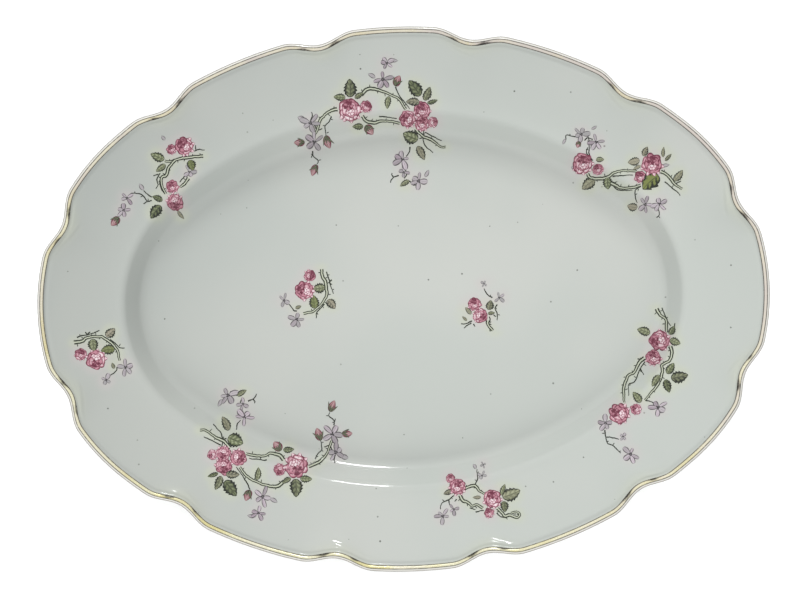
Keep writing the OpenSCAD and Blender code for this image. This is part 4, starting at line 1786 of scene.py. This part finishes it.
FULL_SPRAY = Print(
    branches=(
        ((-17, 7), (-22, 5.5), (-26.5, 1.5), (-28.5, -3), (-30, -6.5)),
        ((-4, 14), (-0.5, 17), (5, 16.5), (11, 14), (16, 11), (20, 5.5)),
        ((-4, 3), (-1.5, 0), (3, -1), (6, 0), (12.5, -0.5), (16.5, -1.5)),
        ((24.5, -4.5), (28.5, -8.5), (33, -11), (37.5, -14.5), (41, -15)),
    ),
    tendrils=(
        ((-20.5, 3.5), (-22, 0.5), (-24.5, -2), (-24, -7)),
        ((-30, -1), (-28.5, -3.5), (-25.5, -3)),
        ((14.5, 18), (17, 12.5), (22, 5.5)),
        ((5, 2.5), (9, 2), (15, 1)),
        ((29.5, -6.5), (34, -9), (39, -11.5)),
        ((28.5, -9), (30, -13.5), (34, -18)),
        ((26.5, -10), (28.5, -9), (29.5, -4.5)),
        ((21.5, -14), (21, -17), (19, -19.5)),
        ((18, -25), (19, -29), (17.5, -31.5)),
        ((15, -29.5), (12, -30.5), (10, -33.5)),
        ((12, -30.5), (11, -29), (11.5, -28)),
        ((20.5, -32.5), (22.5, -35), (24.5, -35)),
        ((-31.5, -14.5), (-31.5, -17.5), (-29, -20), (-29.5, -22)),
        ((-31.5, -16), (-32.5, -18.5)),
        ((-32, 1), (-31, 4), (-31.5, 6)),
    ),
    leaves=(
        (-10, 13, 10, 7, 90, 0.1), (-12.5, 13, 6.5, 4, 175, 0), (-7.5, 12.5, 5.5, 3, 30, 0.1),
        (28, 12.5, 10.5, 7, 125, 0), (30, 10, 8, 4.5, 65, 0.2), (27.5, 9, 7.5, 4.5, 175, 0.6),
        (31.5, 8.5, 6, 2.5, 15, 0), (11, 13, 7, 3.5, -100, 0.1), (-3.5, -2.5, 6, 3.5, 180, 0),
        (26, -10.5, 9, 7.5, 155, 0), (25.5, -14, 8.5, 4.5, -65, 0.5), (20.5, -32.5, 6, 3, -150, 0.2),
    ),
    roses=(
        (28.5, 5, 9.5, 95, 0.75), (20.5, 0.5, 9, 160, 0.35), (28.5, -2, 8, 80, 0.45),
        (34.5, -1.5, 5.5, 20, 0.2), (-1.5, 8, 6.5, 70, 0.85), (-10.5, 6.5, 12.5, 105, 0.3),
    ),
    violets=(
        (-32, 0, 10.5, 70, 0.35), (-30.5, -10, 11, 20, 0.2), (8, 22, 10.5, 100, 0),
        (10.5, 30.5, 8, 40, 0), (17, -21, 10, 10, 0), (17.5, -28, 7, 80, 0.3),
        (25.5, -33, 10.5, 60, 0.2),
    ),
    buds=(
        (-24, -6.5, 7.5, 4.5, -75), (-35.5, -10, 6, 4, 180), (-29.5, -22, 7, 4, -115),
        (14.5, 18, 6.5, 4.5, 65), (-2.5, -2, 6.5, 5, -50),
    ),
    ghosts=(
        (11.5, 32, 5, 2.2, -5), (29, -31, 4.5, 2.2, 60), (4, 23, 4.5, 2.4, 150), (-35, 2, 4, 3, 160),
    ),
)
PAIR_SPRAY = Print(
    branches=(
        ((-18.5, 0), (-17, -2), (-12, -3), (-8, -2.5), (-3.5, 0), (2.5, 0.5), (8, 0)),
        ((-6.5, -5.5), (-2, -8), (2.5, -9), (6.5, -8.5), (10, -7.5)),
        ((20.5, -0.5), (23.5, -2), (26.5, -5.5), (28.5, -8), (32, -10.5)),
    ),
    tendrils=(
        ((-5.5, -2.5), (-0.5, -2), (6, -2)),
        ((-5.5, -6.5), (-1.5, -9.5), (5.5, -10)),
        ((-15.5, 6.5), (-17.5, 10.5), (-17.5, 14.5), (-17.5, 18), (-18.5, 22)),
        ((-21, 20.5), (-25, 20), (-27, 20.5), (-29.5, 21), (-30, 18)),
        ((-20, 17.5), (-18, 19), (-15, 18)),
        ((22.5, -6), (26, -9), (31, -14)),
        ((28.5, -7.5), (31.5, -6)),
        ((10, -8), (7, -10), (7, -14), (8, -17)),
        ((16, -19.5), (18.5, -21), (19, -24), (17.5, -25.5)),
        ((-18, 9), (-19, 12), (-18, 14)),
    ),
    leaves=(
        (-14.5, -3.5, 8.5, 6, -145, 0.5), (-8, -2.5, 6.5, 5, -85, 0), (-14, 7, 4.5, 3, 0, 0.2),
        (11.5, 8, 5.5, 3.5, 65, 0.7), (9.5, 6, 6.5, 4.5, -170, 0.8), (10, 3, 4.5, 2, -155, 0.7),
        (19.5, -2.5, 11.5, 9, -140, -1), (27.5, -6, 7.5, 4, 50, 0.5), (22, 7, 5.5, 2, 85, 0.4),
        (23, 5, 5, 2, 45, 0.4), (8, -19.5, 5.5, 4.5, 165, 0.8),
    ),
    roses=(
        (9.5, -3, 6.5, 100, 0.7), (-13, 2, 6, 120, 0.8), (-21, 5.5, 11, 100, 0.4),
        (16, 3.5, 11.5, 95, 0.5),
    ),
    violets=(
        (-21.5, 21, 9, 60, 0.5), (-13.5, 16.5, 9.5, 20, 0.2), (12, -18, 8.5, 70, 0.1),
        (19.5, -18, 9, 30, 0),
    ),
    buds=((-22.5, 17.5, 4, 3, -110),),
    ghosts=(
        (-27, 4, 4.5, 2.6, -20), (21, 2, 4.5, 2, 10), (-30, 19, 3.5, 1.6, -120),
        (-16, 23.5, 3.5, 1.6, 30),
    ),
)
TRAILING_SPRAY = Print(
    branches=(
        ((9.5, 41), (11, 37.5), (14, 34.5), (14, 27.5)),
        ((2, 14.5), (-1, 12), (-4, 6.5), (-7.5, 4.5), (-10, -1.5), (-10.5, -9.5)),
        (
            (15.5, 20.5), (16, 17), (14.5, 13), (10.5, 10.5), (10.5, 7), (8, 0.5), (4.5, -3.5),
            (0.5, -8.5),
        ),
    ),
    tendrils=(
        ((12.5, 41.5), (13.5, 38), (15, 34.5), (16.5, 31)),
        ((2, 12.5), (-1, 8), (-4.5, 2), (-7.5, 0.5), (-8, -6)),
        ((-2, 14), (1, 13.5)),
        ((-1, 9), (1, 5)),
        ((0.5, -8.5), (3.5, -9), (5.5, -10.5)),
        ((-21.5, -23.5), (-21.5, -27), (-20.5, -31), (-17, -33), (-13.5, -36.5)),
        ((-21, -27.5), (-17, -28), (-14, -29)),
        ((18, 30), (18.5, 33)),
    ),
    leaves=(
        (5.5, 27.5, 7.5, 5, 160, 0.1), (15.5, 24, 6, 4.5, -25, 0.1), (15.5, 26.5, 5.5, 3.5, 60, 0),
        (13, 5.5, 7, 4.5, 55, 0), (15, 3, 9.5, 6.5, 10, 0.2), (12, 2.5, 7.5, 4.5, -75, 0),
        (9, 5, 7.5, 4, -125, 0.1), (-1.5, -9.5, 7, 4.5, 125, 0.1),
    ),
    roses=(
        (10, 23.5, 11, 195, 0.35), (6.5, 14.5, 8.5, 95, 0.7), (-4.5, -13, 6, 150, 0.5),
        (-13.5, -15, 11, 165, 0.45),
    ),
    violets=(
        (7.5, -12.5, 10.5, 25, 0.1), (-21, -20, 8.5, 80, 0.2), (-12, -27.5, 5, 40, 0.3),
        (-8.5, -37, 9.5, 60, 0.1),
    ),
)
SMALL_PAIR_SPRAY = Print(
    branches=(
        ((-7, 2.5), (-2, 4), (0, 3.5), (1.5, 1.5), (4.5, -0.5)),
        ((-9, -0.5), (-7.5, -3.5), (-4.5, -5), (-2.5, -6.5), (0.5, -6), (3.5, -8)),
        (
            (11, -8), (13.5, -11), (15, -12.5), (18, -12), (21.5, -13.5), (23, -12), (21.5, -10.5),
            (18, -11),
        ),
    ),
    tendrils=(
        ((-1, -10), (1.5, -9), (4, -9)),
        ((-4, -7.5), (-0.5, -8.5)),
        ((-12, -0.5), (-15, -3), (-18.5, -4.5), (-19.5, -6.5), (-19.5, -8)),
        ((-15, -3), (-14.5, -6)),
        ((-0.5, 5), (1, 7.5), (1, 10.5), (1, 13)),
        ((10.5, -10.5), (12.5, -12.5), (15.5, -13.5)),
        ((-10.5, -2.5), (-12, -4)),
    ),
    leaves=(
        (-13, 2, 5, 3, -160, 0.6), (13.5, -1.5, 6.5, 3, 70, 0.1), (14, -2.5, 10.5, 7, 20, 0.3),
        (14.5, -4.5, 6, 4.5, -85, 0.1), (2.5, -2, 4.5, 2, 180, 0.7),
    ),
    roses=(
        (-13.5, 8.5, 5, 90, 0.8), (-10, 4, 9, 80, 0.4), (6.5, -10.5, 5.5, 120, 0.6),
        (8.5, -3, 10, 100, 0.35),
    ),
    violets=(
        (-18.5, -11.5, 9, 50, 0.2), (-12.5, -8, 6.5, 20, 0.1), (3.5, 9.5, 5.5, 70, 0.7),
        (4.5, 15, 4, 10, 0.8),
    ),
    ghosts=((0.5, 13, 3, 2, 120),),
)
ARCHED_SPRAY = Print(
    branches=(
        ((26, 11), (20.5, 10.5), (15, 10.5), (11, 9.5), (7, 8.5), (5, 9)),
        ((11, 9.5), (8.5, 7), (6.5, 4.5), (5.5, 1.5), (3, 0), (3, -4), (5, -9)),
        ((17.5, -0.5), (14.5, -4), (12.5, -5.5)),
    ),
    tendrils=(
        ((2, -1), (2.5, -5), (4.5, -9)),
        ((21, 13.5), (24, 14.5), (27, 14)),
        ((-2.5, -12), (-5, -12.5), (-7, -10), (-9, -8.5), (-13, -8), (-14.5, -9)),
        ((-5, -12.5), (-7.5, -14)),
        ((-2.5, -10.5), (-5.5, -8.5), (-7, -6.5)),
        ((15.5, 0.5), (12.5, -3)),
        ((2.5, 2.5), (0.5, -1), (1, -4), (-0.5, -6)),
        ((1.5, 2), (-1.5, 1)),
        ((22, 14), (22, 17)),
    ),
    leaves=(
        (5, 9.5, 8, 5, 155, 0), (5.5, 7, 6.5, 3.5, -145, 0.1), (18.5, 9, 6, 5, -75, -0.5),
        (3, -12.5, 6, 3.5, 155, 0), (2, -15, 9, 6, -130, 0), (10.5, -18, 5.5, 2, -55, 0.6),
    ),
    roses=(
        (9, 15, 5.5, 130, 0.75), (16, 16.5, 10, 150, 0.4), (8.5, -5, 7, 100, 0.75),
        (9.5, -13.5, 9, -80, 0.4),
    ),
    violets=((-16, -10.5, 7.5, 30, 0.1), (-18, -17, 8, 70, 0.1), (18, 2.5, 7.5, 20, 0.3)),
    buds=((-20.5, -20.5, 6.5, 4.5, -135),),
    ghosts=((-7, -6.5, 4, 2.4, 120), (6, 20, 3, 2, 130)),
)
SPRIG = Print(
    branches=(
        (
            (-16.5, 9), (-12, 9.5), (-9.5, 11), (-2.5, 11.5), (2.5, 9), (5, 6), (7, 3), (7, 0.5),
            (7.5, -2),
        ),
    ),
    tendrils=(
        ((-15, 11.5), (-10.5, 12.5), (-7.5, 13), (-2.5, 15)),
        ((-10.5, 14.5), (-9, 13), (-7.5, 14.5)),
        ((2.5, 10), (5, 8), (7.5, 5.5), (10.5, 5)),
        ((6, -5), (5.5, -7), (2, -9.5)),
    ),
    leaves=(
        (-6.5, 10.5, 7, 5.5, -85, 0.1), (5, 4.5, 7.5, 5.5, -175, -0.5), (0.5, 11.5, 6.5, 5, 40, 0.9),
        (4.5, -6, 3.5, 2, 110, 0.4),
    ),
    roses=((-13, 2.5, 6.5, 90, 0.85), (-5, -1, 10.5, -100, 0.25)),
    violets=((10.5, -5.5, 9, 30, 0.3), (0, -12, 7.5, 60, 0.4)),
)
POSY = Print(
    branches=(((2, -8), (2, -10), (3, -12), (4.5, -14)),),
    tendrils=(
        ((2.5, -6), (3, -7), (3, -10)),
        ((2.5, -11), (3, -14.5)),
        ((-6.5, -8), (-9.5, -9.5), (-13, -9.5)),
        ((-7, -9), (-9.5, -10.5), (-11.5, -12)),
        ((-6, -9.5), (-5, -11.5)),
        ((7.5, 0.5), (6, -1.5), (7, -4), (7, -8.5)),
        ((5, -5), (6.5, -6.5)),
        ((5, 4), (2.5, 5.5), (1, 7.5), (0.5, 9.5)),
    ),
    leaves=(
        (2.5, -2.5, 5.5, 4.5, 75, 0.3), (2, -4.5, 4, 2, 5, 0.2), (-7, -4.5, 5, 2.5, 130, 0.6),
        (-9.5, -8, 3.5, 1.5, 135, 0.5),
    ),
    roses=((-5, 1, 7.5, 100, 0.7), (-2, -5.5, 8, -20, 0.35)),
    violets=((8.5, 4, 7, 30, 0.5), (0.5, 12, 4, 60, 0.9)),
)


class Layer(Enum):
    """Enamels of a spray in the order that they are fired."""

    STEMS = "stems"
    LEAVES = "leaves"
    ROSES = "roses"
    VIOLETS = "violets"


FINISHES = {
    Layer.STEMS: STEM_ENAMEL,
    Layer.LEAVES: LEAF_ENAMEL,
    Layer.ROSES: ROSE_ENAMEL,
    Layer.VIOLETS: VIOLET_ENAMEL,
}


@dataclass
class Spray:
    """One print where it lies on the dish."""

    name: str
    pattern: Print
    placing: Placing
    seed: int

    def spots(self, kind: str) -> list[tuple[float, float, float]]:
        """Lists round places that tint the glaze.

        Args:
            kind: "greens" for stems and leaves, "pinks" for flowers.

        Returns:
            The x, y and radius of each place, on the dish.
        """
        rows: list[tuple[float, float, float]] = []
        if kind == "greens":
            for x, y, length, _, direction, _ in self.pattern.leaves:
                turn = math.radians(direction)
                rows.append(
                    (x + 0.5 * length * math.cos(turn), y + 0.5 * length * math.sin(turn), 0.4 * length)
                )
            for path in self.pattern.branches:
                rows += [(px, py, 0.8) for px, py in smooth_path(path, 3.0)]
        else:
            rows += [(row[0], row[1], 0.5 * row[2]) for row in self.pattern.roses]
            rows += [(row[0], row[1], 0.3 * row[2]) for row in self.pattern.violets]
        moved = self.placing.out(np.array([row[:2] for row in rows]))
        return [(float(x), float(y), row[2]) for (x, y), row in zip(moved, rows)]

    def draw(self, layer: Layer, hand: Hand) -> Sheet:
        """Draws one enamel of the spray.

        Args:
            layer: Which enamel.
            hand: The painter's hand.

        Returns:
            The sheet with every shape of that enamel.
        """
        sheet = Sheet(list(Layer).index(layer))
        pattern = self.pattern
        if layer is Layer.STEMS:
            for path in pattern.tendrils:
                hand.twig(sheet, path, hand.TENDRIL_WIDTH, 0.25, thorns=len(path) > 3)
            for path in pattern.branches:
                hand.twig(sheet, path, hand.BRANCH_WIDTH, 0.0, thorns=True)
        elif layer is Layer.LEAVES:
            for k, (x, y, length, width, direction, hue) in enumerate(pattern.leaves):
                body = 0.5 + 0.14 * math.sin(2.0 * k + length)
                teeth = 6 if hue > -0.6 else 3
                at = (x, y, length, width, direction)
                tones = (body, body + 0.3, 0.02)
                hand.blade(sheet, at, hand.LEAF_SWELL, teeth, tones, 0.08 + 0.002 * k, hue)
            for row in pattern.buds:
                hand.calyx(sheet, row)
        elif layer is Layer.ROSES:
            for row in pattern.buds:
                hand.bud(sheet, row)
            for row in pattern.roses:
                hand.rose(sheet, *row)
        else:
            for row in pattern.ghosts:
                hand.blade(sheet, row, 0.45, 0, (0.9, 0.35, 0.0), 0.06, 0.75)
            for row in pattern.violets:
                hand.violet(sheet, *row)
        return sheet

    def build(self, form: DishForm) -> list[tuple[bpy.types.Object, Layer]]:
        """Builds every enamel of the spray.

        Args:
            form: Shape of the dish.

        Returns:
            Each finished piece and its layer.
        """
        hand = Hand(self.seed)
        pieces = []
        for layer in Layer:
            sheet = self.draw(layer, hand)
            piece = sheet.lay(f"printed_{self.name}_{layer.value}", form, self.placing, FINISHES[layer])
            pieces.append((piece, layer))
        return pieces


def sprays_of(form: DishForm) -> list[Spray]:
    """Places the nine prints on the dish.

    Args:
        form: Shape of the dish.

    Returns:
        The sprays, the seven on the rim first.
    """
    on_rim = (
        ("top", FULL_SPRAY, 1.07, 49.0, 0.0),
        ("top_right", PAIR_SPRAY, 0.424, 41.5, 0.0),
        ("right", TRAILING_SPRAY, 3.65, 47.5, 0.0),
        ("bottom", SMALL_PAIR_SPRAY, 3.156, 37.0, 0.0),
        ("bottom_left", FULL_SPRAY, 2.657, 50.5, 180.0),
        ("left", SPRIG, 2.133, 31.0, 0.0),
        ("top_left", ARCHED_SPRAY, 1.599, 30.5, 0.0),
    )
    in_well = (("well_left", SPRIG, -53.0, 1.5, -90.0), ("well_right", POSY, 43.5, -5.0, 0.0))
    rim_seed = 11
    well_seed = 31
    sprays = []
    for seed, (name, pattern, quarters, inset, turn) in enumerate(on_rim):
        angle = form.plan.normal_at(np.array(quarters * form.plan.quarter))
        x, y = form.plan.point(angle, np.array(inset))
        sprays.append(Spray(name, pattern, Placing(float(x), float(y), turn), seed + rim_seed))
    for seed, (name, pattern, x, y, turn) in enumerate(in_well):
        sprays.append(Spray(name, pattern, Placing(x, y, turn), seed + well_seed))
    return sprays


# ---------------------------------------------------------------- the studio


@dataclass(frozen=True)
class SoftLight:
    """Rectangular light that faces the middle of the dish, in metres and watts."""

    name: str
    at: tuple[float, float, float]
    size: tuple[float, float]
    watts: float
    tint: Colour = (1.0, 1.0, 1.0)
    mirrored: bool = False

    def hang(self) -> None:
        """Hangs the light. The glaze shows it only if it is mirrored."""
        data = bpy.data.lights.new(self.name, "AREA")
        data.shape = "RECTANGLE"
        data.size, data.size_y = self.size
        data.energy = self.watts
        data.color = self.tint
        lamp = bpy.data.objects.new(self.name, data)
        lamp.location = self.at
        lamp.rotation_euler = (-Vector(self.at)).to_track_quat("-Z", "Y").to_euler()
        lamp.visible_camera = False
        lamp.visible_glossy = self.mirrored
        bpy.context.scene.collection.objects.link(lamp)


WINDOW = SoftLight("window", (0.27, 2.2, 1.12), (0.3, 0.4), 8.0, (0.97, 0.99, 1.0), mirrored=True)
FILLS = (
    SoftLight("fill_near", (-0.5, -4.2, 2.4), (3.0, 3.0), 168.0),
    SoftLight("fill_far", (-0.5, 4.2, 2.4), (3.0, 3.0), 190.0),
    SoftLight("overhead", (0.12, -0.1, 2.2), (1.6, 1.6), 9.0),
)


@dataclass
class Studio:
    """White table, soft lights and the camera straight above the dish, in metres."""

    camera_height: float = 2.4
    picture_width: float = 0.434
    aim: Point = (0.0002, -0.0005)
    roll: float = -1.974
    sensor: float = 36.0
    floor_size: float = 6.0
    table_white: float = 0.93
    table_roughness: float = 0.9
    room_light: float = 0.65
    exposure: float = 0.24

    def build(self) -> None:
        """Sets up the floor, the lights, the world and the camera."""
        self._floor()
        for light in (WINDOW, *FILLS):
            light.hang()
        self._world()
        self._camera()

    def _floor(self) -> None:
        """Lays a plain white table top under the dish."""
        half = self.floor_size / 2.0 / MM
        corners = half * np.array([[-1, -1, 0], [1, -1, 0], [1, 1, 0], [-1, 1, 0]], float)
        floor = make_object("table_top", corners, [(0, 1, 2, 3)])
        table = bpy.data.materials.new("white_table")
        table.use_nodes = True
        shader = table.node_tree.nodes["Principled BSDF"]
        shader.inputs["Base Color"].default_value = (*[self.table_white] * 3, 1.0)
        shader.inputs["Roughness"].default_value = self.table_roughness
        floor.data.materials.append(table)

    def _world(self) -> None:
        """Surrounds the dish with even soft light."""
        world = bpy.data.worlds.new("soft_room")
        world.use_nodes = True
        background = world.node_tree.nodes["Background"]
        background.inputs["Color"].default_value = (1.0, 1.0, 1.0, 1.0)
        background.inputs["Strength"].default_value = self.room_light
        bpy.context.scene.world = world
        bpy.context.scene.view_settings.view_transform = "Standard"
        bpy.context.scene.view_settings.exposure = self.exposure

    def _camera(self) -> None:
        """Hangs the camera over the middle of the dish, turned a little."""
        data = bpy.data.cameras.new("overhead")
        data.sensor_width = self.sensor
        lip = CAD_BOX[1][2]
        data.lens = data.sensor_width * (self.camera_height - lip) / self.picture_width
        camera = bpy.data.objects.new("overhead", data)
        camera.location = (*self.aim, self.camera_height)
        camera.rotation_euler = (0.0, 0.0, math.radians(self.roll))
        bpy.context.scene.collection.objects.link(camera)
        bpy.context.scene.camera = camera


def main() -> None:
    """Builds every piece in order and reports it."""
    logging.basicConfig(level=logging.INFO, format="%(message)s")
    for build_group in (glaze_group, print_group, wear_group):
        build_group()
    Studio().build()
    form = DishForm()
    sprays = sprays_of(form)
    clay = (
        (ChinaBody(form, sprays), "china_body", "china"),
        (FootRing(form), "foot_ring", "biscuit"),
        (GiltLine(form), "gilt_rim_line", "gilding"),
    )
    for part, node, slot in clay:
        piece = part.build()
        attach(piece, "root")
        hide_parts(node)
        LOG.info("%s stands for %s, %d faces", piece.name, node, len(piece.data.polygons))
    for spray in sprays:
        for piece, layer in spray.build(form):
            node = f"{spray.name}_{layer.value}"
            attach(piece, "root")
            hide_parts(node)
            LOG.info("%s stands for %s, %d faces", piece.name, node, len(piece.data.polygons))


if __name__ == "__main__":
    main()
